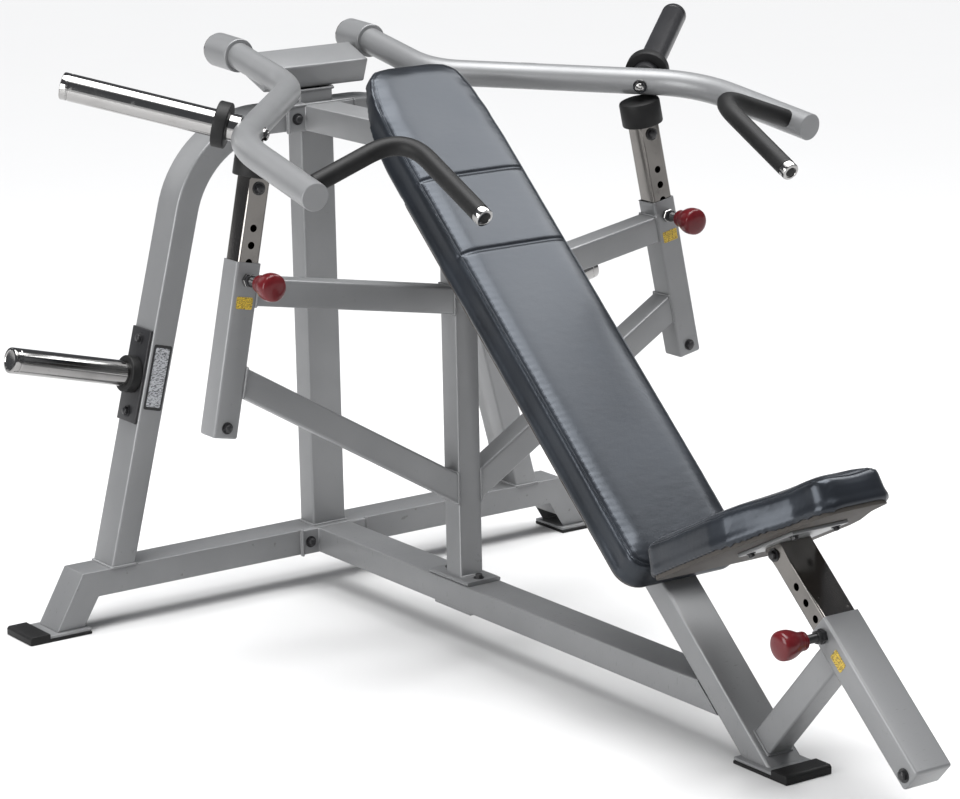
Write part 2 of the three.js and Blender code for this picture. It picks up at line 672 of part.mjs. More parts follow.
function seat() {
  const { y, z, tilt, thick, board, bracket, bracketWidth, bracketLength, bracketAlong } = SEAT;
  const [pocket, plank] = boardIn(seatOutline, board);
  const group = new THREE.Group();
  group.position.set(0, y, z);
  group.rotation.x = -tilt;
  const pad = cut(cushion(seatOutline(0), thick), [pocket]);
  const plateMiddle = [0, bracketAlong, -GAP - bracket / 2];
  const plate = block([bracketWidth, bracketLength, bracket], plateMiddle);
  group.add(named('seat_pad', pad, 'vinyl'));
  group.add(named('seat_board', plank, 'board'));
  group.add(named('seat_bracket', plate, 'frame'));
  return group;
}

// ---------------------------------------------------------------------------
// Lever arms
// ---------------------------------------------------------------------------

/** The pivot's axis: its rear end, and its direction towards the front. */
function pivotAxis(side) {
  const { x, rearY, z, tilt } = PIVOT;
  const origin = new THREE.Vector3(side * x, rearY, z);
  return { origin, direction: new THREE.Vector3(0, -Math.cos(tilt), -Math.sin(tilt)) };
}

const PIVOT_LENGTH = PIVOT.rearY - PIVOT.frontY;

function pivotHousing(side, label) {
  const { origin, direction } = pivotAxis(side);
  const { outerR, boreR } = PIVOT;
  const tube = boredBar(outerR, 0, PIVOT_LENGTH, boreR, -THROUGH, PIVOT_LENGTH + THROUGH);
  const placed = tube.applyMatrix4(frameAt(origin, direction, Z_UP));
  return named(`${label}_pivot_housing`, placed, 'frame');
}

function pivotShaft(side, label) {
  const { origin, direction } = pivotAxis(side);
  const { shaftR, washerR, washerFrom, washerTo } = PIVOT;
  const shaft = join([
    roundBar(shaftR, washerTo - JOIN_OVERLAP, PIVOT_LENGTH + 1),
    roundBar(washerR, washerFrom, washerTo),
  ]);
  const placed = shaft.applyMatrix4(frameAt(origin, direction, Z_UP));
  return named(`${label}_pivot_shaft`, placed, 'chrome');
}

/** The arm's centre line, `slack` longer at its rear end and `short` shorter at its tip. */
function armPath(side, slack, short) {
  const corners = [ARM.start, ARM.elbow, ARM.bend, ARM.end].map((point) => onSide(side, point));
  const [start, elbow, bend, end] = corners;
  const rear = start.clone().add(start.clone().sub(elbow).setLength(slack));
  const tip = end.clone().add(bend.clone().sub(end).setLength(short));
  return bentPath([rear, elbow, bend, tip], ARM.cornerReach);
}

function armTube(side, label) {
  const { origin, direction } = pivotAxis(side);
  const rearFace = origin.clone().addScaledVector(direction, PIVOT_LENGTH + 1 + GAP);
  const skin = swept(armPath(side, 20, 0), ROUND_R, ARM.steps, SEGMENTS);
  const hollow = swept(armPath(side, 40, 2 * WALL), ROUND_R - WALL, ARM.steps, 10);
  const tube = cut(skin, [hollow, beyond(rearFace, direction.clone().negate())]);
  return named(`${label}_arm_tube`, tube, 'frame');
}

/** A round bar that clears the arm's tube along one straight stretch of it. */
function armClearance(from, to) {
  const along = to.clone().sub(from);
  const bar = roundBar(ROUND_R + 2 * GAP, -THROUGH, along.length() + THROUGH, 24);
  return bar.applyMatrix4(frameAt(from, along, Z_UP));
}

function weightSleeve(side, label) {
  const { radius, from, endWall, collarR, collarFrom, collarTo } = SLEEVE;
  const [elbow, bend] = [ARM.elbow, ARM.bend].map((point) => onSide(side, point));
  const root = elbow.clone().lerp(bend, SLEEVE_ROOT_ALONG);
  const along = onSide(side, SLEEVE.end).sub(root);
  const length = along.length();
  const place = frameAt(root, along, Z_UP);
  const tube = boredBar(radius, from, length, radius - WALL, from - THROUGH, length - endWall);
  const ring = boredBar(
    collarR, collarFrom, collarTo, radius + GAP, collarFrom - THROUGH, collarTo + THROUGH,
  );
  const rooted = cut(tube.applyMatrix4(place), [armClearance(elbow, bend)]);
  return [
    named(`${label}_weight_sleeve`, rooted, 'chrome'),
    named(`${label}_sleeve_collar`, ring.applyMatrix4(place), 'rubber'),
  ];
}

function handle(side, label) {
  const { radius, cap, capR, cornerReach, steps } = HANDLE;
  const [bend, tip] = [ARM.bend, ARM.end].map((point) => onSide(side, point));
  const root = bend.clone().lerp(tip, HANDLE_ROOT_ALONG);
  const corner = onSide(side, HANDLE.bend);
  const end = onSide(side, HANDLE.end);
  const outwards = end.clone().sub(corner).normalize();
  const capBase = end.clone().addScaledVector(outwards, -cap);
  const gripEnd = capBase.clone().addScaledVector(outwards, -GAP);
  const grip = swept(bentPath([root, corner, gripEnd], [cornerReach]), radius, steps, SEGMENTS);
  const plug = roundBar(capR, 0, cap).applyMatrix4(frameAt(capBase, outwards, Z_UP));
  return [
    named(`${label}_handle_grip`, cut(grip, [armClearance(bend, tip)]), 'rubber'),
    named(`${label}_handle_cap`, plug, 'chrome'),
  ];
}

// ---------------------------------------------------------------------------
// Plate storage
// ---------------------------------------------------------------------------

function storage(side, label) {
  const { plateZ, plateLength, plateWidth, plateThick, length, collarR, collar } = PEG;
  const legX = LEG.baseX - Math.tan(LEG.lean) * (plateZ - CROSSBAR.top);
  const faceX = legX + (NARROW / 2 + GAP) / Math.cos(LEG.lean);
  const group = new THREE.Group();
  group.position.set(side * faceX, 0, plateZ);
  group.rotation.y = side * (Math.PI / 2 - LEG.lean);
  const plate = block([plateLength, plateWidth, plateThick], [0, 0, plateThick / 2]);
  const { radius, endWall } = SLEEVE;
  const root = plateThick + GAP;
  const end = root + length;
  const peg = boredBar(radius, root, end, radius - WALL, root - THROUGH, end - endWall);
  const ring = boredBar(
    collarR, root, root + collar, radius + GAP, root - THROUGH, root + collar + THROUGH,
  );
  group.add(
    named(`${label}_storage_plate`, plate, 'plate'),
    named(`${label}_storage_peg`, peg, 'chrome'),
    named(`${label}_storage_collar`, ring, 'rubber'),
  );
  return group;
}

// ---------------------------------------------------------------------------
// Assembly
// ---------------------------------------------------------------------------

/** A group in the back pad's frame: +Y up the slope and +Z out of the pad's face. */
function inclineGroup(children) {
  const group = new THREE.Group();
  group.position.set(0, INCLINE.y, INCLINE.z);
  group.rotation.x = INCLINE.angle;
  group.add(...children);
  return group;
}

const machine = new THREE.Group();
machine.position.y = FRAME_ORIGIN_Y;
machine.add(
  baseCrossbar(),
  ...frontFoot(),
  flangedTube('base_beam', CROSSBAR.top - NARROW / 2),
  mainUpright(),
  headBox(),
  topTube(),
  inclineTube(),
  ...centerPost(),
  seatStrut(),
  inclineGroup([seatSleeve(), seatPost(), seatPin(), backPad()]),
  seat(),
);

for (const [side, label] of [[-1, 'left'], [1, 'right']]) {
  machine.add(
    ...rearFoot(side, label),
    rearLeg(side, label),
    outrigger(`${label}_cross_arm`, side, CROSS_ARM),
    outrigger(`${label}_brace`, side, BRACE),
    stop(side, label),
    stopPin(side, label),
    storage(side, label),
    pivotHousing(side, label),
    pivotShaft(side, label),
    armTube(side, label),
    ...weightSleeve(side, label),
    ...handle(side, label),
  );
}

export default machine;
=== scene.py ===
"""Studio model of a plate-loaded incline press machine.

Every piece lies in the frame's own coordinates: metres, +Z up, the user faces -Y.
Sizes in the classes below are in millimetres unless a comment says otherwise.
"""

import json
import logging
import math
from collections.abc import Sequence
from dataclasses import dataclass
from enum import Enum

import bmesh
import bpy
import numpy as np
from mathutils import Matrix, Vector
from mathutils.bvhtree import BVHTree

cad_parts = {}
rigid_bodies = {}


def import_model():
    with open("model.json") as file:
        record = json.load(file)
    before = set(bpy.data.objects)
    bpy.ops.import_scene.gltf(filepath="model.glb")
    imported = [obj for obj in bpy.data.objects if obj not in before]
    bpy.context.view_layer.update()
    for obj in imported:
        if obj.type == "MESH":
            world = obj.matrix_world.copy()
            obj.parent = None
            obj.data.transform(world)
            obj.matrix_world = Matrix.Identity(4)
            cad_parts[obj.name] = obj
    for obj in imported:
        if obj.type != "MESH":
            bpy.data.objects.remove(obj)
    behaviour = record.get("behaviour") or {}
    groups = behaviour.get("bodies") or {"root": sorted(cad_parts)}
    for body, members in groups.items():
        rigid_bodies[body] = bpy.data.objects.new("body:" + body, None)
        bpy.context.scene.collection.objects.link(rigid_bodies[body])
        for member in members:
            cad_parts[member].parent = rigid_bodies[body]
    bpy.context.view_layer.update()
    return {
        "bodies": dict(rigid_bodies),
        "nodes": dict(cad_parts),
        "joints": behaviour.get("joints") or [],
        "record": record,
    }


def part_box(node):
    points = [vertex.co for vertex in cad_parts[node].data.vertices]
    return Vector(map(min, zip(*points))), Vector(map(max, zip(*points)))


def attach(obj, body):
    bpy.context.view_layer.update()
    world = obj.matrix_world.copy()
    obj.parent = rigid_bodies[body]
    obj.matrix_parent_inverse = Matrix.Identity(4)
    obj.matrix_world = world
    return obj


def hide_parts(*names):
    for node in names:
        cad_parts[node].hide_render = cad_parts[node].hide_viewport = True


LOG = logging.getLogger("press_machine")
MM = 0.001
Z_UP = Vector((0, 0, 1))
FRONT = Vector((0, -1, 0))
Colour = tuple[float, float, float]
Triple = tuple[float, float, float]
Pair = tuple[float, float]


class Side(Enum):
    """The two mirrored halves of the machine."""

    LEFT = -1
    RIGHT = 1

    @property
    def label(self) -> str:
        """The side's name as the frame's nodes spell it."""
        return self.name.lower()


class Slot(Enum):
    """The record's material slots."""

    PAINT = "frame_paint"
    PLATED = "plated_tube"
    CHROME = "chrome"
    VINYL = "vinyl"
    BOARD = "board"
    RUBBER = "rubber"
    KNOB = "knob"
    STEEL = "black_steel"


# ---------------------------------------------------------------------------
# Shaders
# ---------------------------------------------------------------------------


class Wire:
    """A number socket that adds a Math node for each operator used on it."""

    def __init__(self, shader: "Shader", socket: bpy.types.NodeSocket) -> None:
        """Wraps one output socket of a shader's tree."""
        self.shader = shader
        self.socket = socket

    def _math(self, operation: str, first: "Wire | float", second: "Wire | float") -> "Wire":
        """Adds one Math node.

        Args:
            operation: The Math node's operation.
            first: A Wire or a number.
            second: A Wire or a number.

        Returns:
            The node's result.
        """
        node = self.shader.node("ShaderNodeMath", {"operation": operation}, {0: first, 1: second})
        return Wire(self.shader, node.outputs[0])

    def __add__(self, other: "Wire | float") -> "Wire":
        """self + other."""
        return self._math("ADD", self, other)

    __radd__ = __add__

    def __mul__(self, other: "Wire | float") -> "Wire":
        """self * other."""
        return self._math("MULTIPLY", self, other)

    __rmul__ = __mul__

    def __sub__(self, other: "Wire | float") -> "Wire":
        """self - other."""
        return self._math("SUBTRACT", self, other)

    def __rsub__(self, other: "Wire | float") -> "Wire":
        """other - self."""
        return self._math("SUBTRACT", other, self)

    def ramp(self, low: float, high: float, start: float = 0.0, end: float = 1.0) -> "Wire":
        """Maps low..high to start..end, held at the ends.

        Args:
            low: The value that gives start.
            high: The value that gives end.
            start: The result at low.
            end: The result at high.

        Returns:
            The mapped value.
        """
        inputs = {"Value": self, "From Min": low, "From Max": high, "To Min": start, "To Max": end}
        node = self.shader.node("ShaderNodeMapRange", {"clamp": True}, inputs)
        return Wire(self.shader, node.outputs["Result"])


class Shader:
    """One material and the node tree behind it."""

    def __init__(self, name: str) -> None:
        """Makes an empty material with one Principled shader."""
        self.material = bpy.data.materials.new(name)
        self.material.use_nodes = True
        self.tree = self.material.node_tree
        self.tree.nodes.clear()
        self.surface = self.node("ShaderNodeBsdfPrincipled")
        output = self.node("ShaderNodeOutputMaterial")
        self.tree.links.new(self.surface.outputs["BSDF"], output.inputs["Surface"])
        self.position = self.node("ShaderNodeTexCoord").outputs["Object"]

    def node(self, kind: str, settings: dict | None = None, inputs: dict | None = None) -> bpy.types.Node:
        """Adds a node.

        Args:
            kind: The node's type.
            settings: Its properties, set before its sockets.
            inputs: Values, sockets or Wires by socket name or index.

        Returns:
            The new node.
        """
        node = self.tree.nodes.new(kind)
        for key, value in (settings or {}).items():
            setattr(node, key, value)
        for key, value in (inputs or {}).items():
            source = value.socket if isinstance(value, Wire) else value
            if isinstance(source, bpy.types.NodeSocket):
                self.tree.links.new(source, node.inputs[key])
            else:
                node.inputs[key].default_value = source
        return node

    def stretched(self, scale: Triple, turn: Triple = (0, 0, 0)) -> bpy.types.NodeSocket:
        """Object coordinates, turned and then scaled along each axis.

        Args:
            scale: Factor along X, Y and Z.
            turn: Euler angles in radians.

        Returns:
            The vector socket.
        """
        inputs = {"Vector": self.position, "Scale": scale, "Rotation": turn}
        return self.node("ShaderNodeMapping", {"vector_type": "POINT"}, inputs).outputs["Vector"]

    def noise(self, scale: float, detail: float = 3.0, vector: bpy.types.NodeSocket | None = None) -> Wire:
        """Noise from 0 to 1.

        Args:
            scale: Features per metre.
            detail: Octaves.
            vector: The coordinates, or None for the object's own.

        Returns:
            The noise value.
        """
        inputs = {"Vector": vector or self.position, "Scale": scale, "Detail": detail}
        return Wire(self, self.node("ShaderNodeTexNoise", None, inputs).outputs["Fac"])

    def cells(self, scale: float) -> Wire:
        """Distance to the nearest cell centre of a Voronoi pattern, in cells."""
        inputs = {"Vector": self.position, "Scale": scale}
        return Wire(self, self.node("ShaderNodeTexVoronoi", None, inputs).outputs["Distance"])

    def height(self) -> Wire:
        """Height above the floor in metres."""
        node = self.node("ShaderNodeSeparateXYZ", None, {"Vector": self.position})
        return Wire(self, node.outputs["Z"])

    def blend(self, mask: Wire, base: "Colour | bpy.types.NodeSocket",
              top: "Colour | bpy.types.NodeSocket") -> bpy.types.NodeSocket:
        """Mixes two colours.

        Args:
            mask: 0 gives base, 1 gives top.
            base: An RGB tuple or a colour socket.
            top: An RGB tuple or a colour socket.

        Returns:
            The mixed colour's socket.
        """
        node = self.node("ShaderNodeMix", {"data_type": "RGBA"}, {"Factor": mask})
        colour_inputs = [s for s in node.inputs if s.type == "RGBA"]
        for socket, value in zip(colour_inputs, (base, top)):
            if isinstance(value, bpy.types.NodeSocket):
                self.tree.links.new(value, socket)
            else:
                socket.default_value = (*value, 1.0)
        return next(s for s in node.outputs if s.type == "RGBA")

    def relief(self, height: Wire, distance: float, strength: float = 1.0) -> None:
        """Bumps the surface.

        Args:
            height: The height pattern, 0 to 1.
            distance: Its depth in metres.
            strength: The Bump node's strength.
        """
        inputs = {"Height": height, "Distance": distance, "Strength": strength}
        bump = self.node("ShaderNodeBump", None, inputs)
        self.tree.links.new(bump.outputs["Normal"], self.surface.inputs["Normal"])

    def feed(self, **sockets: "float | Colour | bpy.types.NodeSocket | Wire") -> bpy.types.Material:
        """Sets the shader's sockets by name, with underscores for spaces.

        Args:
            sockets: Numbers, RGB tuples, sockets or Wires.

        Returns:
            The finished material.
        """
        for key, value in sockets.items():
            socket = self.surface.inputs[key.replace("_", " ")]
            source = value.socket if isinstance(value, Wire) else value
            if isinstance(source, bpy.types.NodeSocket):
                self.tree.links.new(source, socket)
            elif isinstance(source, tuple):
                socket.default_value = (*source, 1.0)
            else:
                socket.default_value = source
        return self.material


@dataclass(frozen=True)
class PowderCoat:
    """Satin powder coat with orange peel, patches of uneven tone and scuffs near the floor."""

    name: str
    colour: Colour
    shadow: Colour
    worn: Colour
    metallic: float
    roughness: float

    def build(self) -> bpy.types.Material:
        """Makes the material.

        Returns:
            The finished material.
        """
        shader = Shader(self.name)
        drift = shader.noise(6, 3).ramp(0.35, 0.7)
        speck = shader.noise(1400, 2)
        tint = shader.blend(drift * 0.6 + speck * 0.25, self.colour, self.shadow)
        scratches = shader.noise(70, 6, shader.stretched((1, 6, 1), (0.4, 0.3, 0.9))).ramp(0.66, 0.72)
        low = shader.height().ramp(0.02, 0.22, 1.0, 0.15)
        scuffs = scratches * low
        shader.relief(shader.noise(520, 2) * 0.7 + speck * 0.3 - scuffs * 0.5, 0.00022, 0.35)
        return shader.feed(
            Base_Color=shader.blend(scuffs, tint, self.worn), Metallic=self.metallic,
            Roughness=drift * 0.08 + scuffs * 0.2 + self.roughness,
        )


@dataclass(frozen=True)
class Plating:
    """Bright plated steel with smudges and fine lengthwise polishing lines."""

    name: str
    colour: Colour
    haze: Colour
    roughness: float

    def build(self) -> bpy.types.Material:
        """Makes the material.

        Returns:
            The finished material.
        """
        shader = Shader(self.name)
        smudge = shader.noise(14, 4).ramp(0.45, 0.75)
        lines = shader.noise(900, 2, shader.stretched((1, 0.04, 1)))
        wear = shader.noise(60, 5).ramp(0.62, 0.74)
        shader.relief(lines * 0.6 + wear * 0.4, 0.00005, 0.25)
        return shader.feed(
            Base_Color=shader.blend(smudge * 0.5 + wear * 0.3, self.colour, self.haze), Metallic=1.0,
            Roughness=smudge * 0.1 + wear * 0.12 + self.roughness,
        )


@dataclass(frozen=True)
class Vinyl:
    """Glossy upholstery vinyl with pebbled grain, creases and a lighter painted sheen in random patches."""

    name: str
    colour: Colour
    sheen: Colour

    def build(self) -> bpy.types.Material:
        """Makes the material.

        Returns:
            The finished material.
        """
        shader = Shader(self.name)
        pebbles = shader.cells(620)
        creases = shader.noise(38, 5, shader.stretched((1, 2.4, 1))).ramp(0.3, 0.7)
        # Painted sheen: random patches where a lighter bluish colour is painted into the base colour as
        # sheen; the same patches are a little rougher.
        painted_sheen = shader.noise(7, 3).ramp(0.4, 0.72)
        shader.relief(pebbles * 0.3 + creases * 0.9, 0.0004, 0.3)
        tint = shader.blend(painted_sheen * 0.7 + pebbles * 0.25, self.colour, self.sheen)
        return shader.feed(
            Base_Color=tint, Roughness=painted_sheen * 0.08 + pebbles * 0.06 + 0.27, Coat_Weight=0.1,
            Coat_Roughness=0.2, Specular_IOR_Level=0.4, Specular_Tint=(0.78, 0.87, 1.0),
        )


@dataclass(frozen=True)
class Moulded:
    """Moulded rubber or plastic: a fine stipple, faint dust and uneven gloss."""

    name: str
    colour: Colour
    dust: Colour
    roughness: float
    grain: float
    depth: float
    coat: float = 0.0

    def build(self) -> bpy.types.Material:
        """Makes the material.

        Returns:
            The finished material.
        """
        shader = Shader(self.name)
        stipple = shader.noise(self.grain, 3)
        dusty = shader.noise(18, 4).ramp(0.5, 0.8)
        shader.relief(stipple, self.depth, 0.5)
        return shader.feed(
            Base_Color=shader.blend(dusty * 0.4 + stipple * 0.2, self.colour, self.dust),
            Roughness=dusty * 0.1 + stipple * 0.06 + self.roughness, Coat_Weight=self.coat,
            Specular_IOR_Level=0.2,
        )


@dataclass(frozen=True)
class PrintedLabel:
    """A printed sticker: fine rows of ink that spell nothing, on a coloured ground."""

    name: str
    ground: Colour
    ink: Colour
    rows: Triple

    def build(self) -> bpy.types.Material:
        """Makes the material.

        Returns:
            The finished material.
        """
        shader = Shader(self.name)
        print_rows = shader.noise(300, 1, shader.stretched(self.rows)).ramp(0.5, 0.56)
        grime = shader.noise(60, 3)
        shader.relief(print_rows, 0.00002, 0.3)
        return shader.feed(
            Base_Color=shader.blend(print_rows * 0.8 + grime * 0.1, self.ground, self.ink),
            Roughness=grime * 0.1 + 0.35,
        )


@dataclass(frozen=True)
class Plywood:
    """Bare dark plywood with grain lines along its length."""

    name: str
    colour: Colour
    grain: Colour

    def build(self) -> bpy.types.Material:
        """Makes the material.

        Returns:
            The finished material.
        """
        shader = Shader(self.name)
        lines = shader.noise(240, 5, shader.stretched((1, 0.06, 0.06)))
        knots = shader.noise(9, 3).ramp(0.45, 0.7)
        shader.relief(lines, 0.0003, 0.5)
        return shader.feed(
            Base_Color=shader.blend(lines * 0.8 + knots * 0.2, self.colour, self.grain),
            Roughness=lines * 0.15 + 0.7,
        )


FINISHES = {
    Slot.PAINT: PowderCoat("silver_powder_coat", (0.225, 0.228, 0.232), (0.182, 0.185, 0.189),
                           (0.12, 0.12, 0.12), 0.3, 0.34),
    Slot.STEEL: PowderCoat("black_coated_steel", (0.014, 0.014, 0.015), (0.024, 0.024, 0.026),
                           (0.16, 0.16, 0.16), 0.1, 0.3),
    Slot.PLATED: Plating("dark_plated_tube", (0.19, 0.18, 0.17), (0.12, 0.115, 0.11), 0.14),
    Slot.CHROME: Plating("polished_chrome", (0.34, 0.335, 0.33), (0.22, 0.215, 0.21), 0.09),
    # The vinyl's second colour is the lighter painted sheen.
    Slot.VINYL: Vinyl("black_vinyl", (0.008, 0.0088, 0.0105), (0.013, 0.0155, 0.02)),
    Slot.RUBBER: Moulded("black_rubber", (0.008, 0.008, 0.0082), (0.02, 0.02, 0.02), 0.45, 700, 0.0004),
    Slot.KNOB: Moulded("dark_red_plastic", (0.095, 0.006, 0.009), (0.16, 0.02, 0.022),
                       0.26, 220, 0.00006, 0.3),
    Slot.BOARD: Plywood("dark_plywood", (0.030, 0.026, 0.023), (0.062, 0.054, 0.047)),
}
YELLOW_LABEL = PrintedLabel("yellow_label", (0.62, 0.42, 0.03), (0.06, 0.05, 0.02), (0.8, 0.8, 3.0))
GREY_LABEL = PrintedLabel("grey_label", (0.42, 0.43, 0.45), (0.05, 0.05, 0.055), (0.8, 0.8, 2.6))
Finish = PowderCoat | Plating | Vinyl | Moulded | PrintedLabel | Plywood
THREAD = Moulded("black_thread", (0.02, 0.021, 0.024), (0.06, 0.062, 0.068), 0.6, 2500, 0.0003)


class Palette:
    """Builds each finish once and hands out its material."""

    def __init__(self) -> None:
        """Starts with no material made."""
        self._made: dict[str, bpy.types.Material] = {}

    def of(self, finish: Slot | Finish) -> bpy.types.Material:
        """The material of a finish or of a slot.

        Args:
            finish: A Slot, or a finish that no slot names.

        Returns:
            The material, made on the first call.
        """
        finish = FINISHES[finish] if isinstance(finish, Slot) else finish
        if finish.name not in self._made:
            self._made[finish.name] = finish.build()
        return self._made[finish.name]


# ---------------------------------------------------------------------------
# Geometry Nodes
# ---------------------------------------------------------------------------


class NodeTree:
    """A Geometry Nodes tree with named inputs that is run once on a mesh."""

    def __init__(self, name: str, sizes: dict[str, float]) -> None:
        """Makes the tree's interface.

        Args:
            name: The tree's name.
            sizes: Each size input with its default, in metres.
        """
        self.tree = bpy.data.node_groups.new(name, "GeometryNodeTree")
        face = self.tree.interface
        face.new_socket("Geometry", in_out="INPUT", socket_type="NodeSocketGeometry")
        self.identifiers = {}
        for label, value in sizes.items():
            socket = face.new_socket(label, in_out="INPUT", socket_type="NodeSocketFloat")
            socket.default_value = value
            self.identifiers[label] = socket.identifier
        material = face.new_socket("Material", in_out="INPUT", socket_type="NodeSocketMaterial")
        self.identifiers["Material"] = material.identifier
        face.new_socket("Geometry", in_out="OUTPUT", socket_type="NodeSocketGeometry")
        self.entry = self.node("NodeGroupInput")

    def node(self, kind: str, settings: dict | None = None, inputs: dict | None = None) -> bpy.types.Node:
        """Adds a node.

        Args:
            kind: The node's type.
            settings: Its properties, set before its sockets.
            inputs: Values or output sockets by input name or index.

        Returns:
            The new node.
        """
        node = self.tree.nodes.new(kind)
        for key, value in (settings or {}).items():
            setattr(node, key, value)
        for key, value in (inputs or {}).items():
            if isinstance(value, bpy.types.NodeSocket):
                self.tree.links.new(value, node.inputs[key])
            else:
                node.inputs[key].default_value = value
        return node

    def math(self, operation: str, first: "bpy.types.NodeSocket | float",
             second: "bpy.types.NodeSocket | float") -> bpy.types.NodeSocket:
        """Adds a Math node and returns its result."""
        return self.node("ShaderNodeMath", {"operation": operation}, {0: first, 1: second}).outputs[0]

    def xyz(self, x: "bpy.types.NodeSocket | float" = 0.0, y: "bpy.types.NodeSocket | float" = 0.0,
            z: "bpy.types.NodeSocket | float" = 0.0) -> bpy.types.NodeSocket:
        """Combines three numbers to a vector socket."""
        return self.node("ShaderNodeCombineXYZ", None, {"X": x, "Y": y, "Z": z}).outputs[0]

    def close(self, points: bpy.types.NodeSocket, shape: bpy.types.NodeSocket,
              direction: bpy.types.NodeSocket, scale: bpy.types.NodeSocket | None = None) -> None:
        """Sets `shape` on every point with its Z along `direction` and ends the tree.

        Args:
            points: The geometry whose points carry the shape.
            shape: The geometry that is repeated.
            direction: The vector that the shape's Z follows.
            scale: A vector that scales each copy, or None.
        """
        turn = self.node("FunctionNodeAlignRotationToVector", {"axis": "Z"}, {"Vector": direction})
        inputs = {"Points": points, "Instance": shape, "Rotation": turn.outputs[0]}
        if scale is not None:
            inputs["Scale"] = scale
        copies = self.node("GeometryNodeInstanceOnPoints", None, inputs)
        real = self.node("GeometryNodeRealizeInstances", None, {"Geometry": copies.outputs[0]})
        inputs = {"Geometry": real.outputs[0], "Material": self.entry.outputs["Material"]}
        painted = self.node("GeometryNodeSetMaterial", None, inputs)
        self.node("NodeGroupOutput", None, {"Geometry": painted.outputs[0]})

    def run(self, mesh: bpy.types.Mesh, material: bpy.types.Material, **sizes: float) -> bpy.types.Mesh:
        """Runs the tree on a mesh.

        Args:
            mesh: The mesh that the tree reads.
            material: The material that it sets.
            sizes: Inputs by name, with underscores for spaces.

        Returns:
            A plain mesh of the result.
        """
        carrier = bpy.data.objects.new("carrier", mesh)
        bpy.context.collection.objects.link(carrier)
        modifier = carrier.modifiers.new("nodes", "NODES")
        modifier.node_group = self.tree
        for label, value in sizes.items():
            modifier[self.identifiers[label.replace("_", " ")]] = value
        modifier[self.identifiers["Material"]] = material
        graph = bpy.context.evaluated_depsgraph_get()
        result = bpy.data.meshes.new_from_object(carrier.evaluated_get(graph))
        bpy.data.objects.remove(carrier)
        return result


DOME_WIDTH = 0.86  # the dome on a bolt's head, as a part of the head's radius
DOME_RISE = 0.34  # how high the dome stands, as a part of its own radius
WASHER_WIDTH = 1.36  # a washer's radius, as a part of the head's


def bolt_tree() -> NodeTree:
    """A washer, a hexagon head and a low dome on every point, along the point's axis.

    Returns:
        The tree.
    """
    tree = NodeTree("bolts", {"Head Radius": 0.008, "Head Height": 0.006, "Washer Radius": 0.011})
    radius = tree.entry.outputs["Head Radius"]
    height = tree.entry.outputs["Head Height"]
    washer_height = 0.0016
    washer = tree.node("GeometryNodeMeshCylinder", None, {
        "Vertices": 28, "Radius": tree.entry.outputs["Washer Radius"], "Depth": 2 * washer_height})
    head = tree.node("GeometryNodeMeshCylinder", None, {"Vertices": 6, "Radius": radius, "Depth": height})
    rise = tree.math("ADD", tree.math("MULTIPLY", height, 0.5), washer_height)
    lifted = tree.node("GeometryNodeTransform", None, {
        "Geometry": head.outputs["Mesh"], "Translation": tree.xyz(z=rise)})
    dome = tree.node("GeometryNodeMeshUVSphere", None, {
        "Segments": 20, "Rings": 10, "Radius": tree.math("MULTIPLY", radius, DOME_WIDTH)})
    smooth = tree.node("GeometryNodeSetShadeSmooth", None, {"Geometry": dome.outputs["Mesh"]})
    capped = tree.node("GeometryNodeTransform", None, {
        "Geometry": smooth.outputs[0], "Scale": (1.0, 1.0, DOME_RISE),
        "Translation": tree.xyz(z=tree.math("ADD", height, washer_height))})
    whole = tree.node("GeometryNodeJoinGeometry")
    for part in (washer.outputs["Mesh"], lifted.outputs[0], capped.outputs[0]):
        tree.tree.links.new(part, whole.inputs[0])
    axis = tree.node("GeometryNodeInputNamedAttribute", {"data_type": "FLOAT_VECTOR"}, {"Name": "axis"})
    tree.close(tree.entry.outputs["Geometry"], whole.outputs[0], axis.outputs[0])
    return tree


def bead_tree() -> NodeTree:
    """Small flattened beads in a row along every edge path, for stitches and weld ripples.

    Returns:
        The tree.
    """
    tree = NodeTree("beads", {"Pitch": 0.005, "Length": 0.004, "Width": 0.001})
    curve = tree.node("GeometryNodeMeshToCurve", None, {"Mesh": tree.entry.outputs["Geometry"]})
    row = tree.node("GeometryNodeResampleCurve", {"mode": "LENGTH"}, {
        "Curve": curve.outputs[0], "Length": tree.entry.outputs["Pitch"]})
    bead = tree.node("GeometryNodeMeshUVSphere", None, {"Segments": 8, "Rings": 4, "Radius": 0.5})
    smooth = tree.node("GeometryNodeSetShadeSmooth", None, {"Geometry": bead.outputs["Mesh"]})
    tangent = tree.node("GeometryNodeInputTangent")
    width = tree.entry.outputs["Width"]
    scale = tree.xyz(width, width, tree.entry.outputs["Length"])
    tree.close(row.outputs[0], smooth.outputs[0], tangent.outputs[0], scale)
    return tree


# ---------------------------------------------------------------------------
# Meshes
# ---------------------------------------------------------------------------


SAME_POINT = 2e-6  # metres: vertices nearer than this are one
END_FACE_AREA = 0.0008  # square metres: a tube's cut end has less, its walls have more
ROUNDED_EDGE = 40  # degrees: sharper corners of a CAD mesh are rounded
WELD_EDGE = 25  # degrees: sharper edges may be a tube's rim
RIM_GAP = 0.012  # metres: the rims of one tube's ends lie further apart


def placement(origin: Vector, direction: Vector, up: Vector = Z_UP) -> Matrix:
    """A matrix that lays local +Z along a direction.

    Args:
        origin: Where local zero goes.
        direction: Where local +Z points.
        up: The direction that local +Y stays nearest to.

    Returns:
        The placement.
    """
    z_axis = direction.normalized()
    x_axis = up.cross(z_axis).normalized()
    y_axis = z_axis.cross(x_axis)
    return Matrix.Translation(origin) @ Matrix((x_axis, y_axis, z_axis)).transposed().to_4x4()


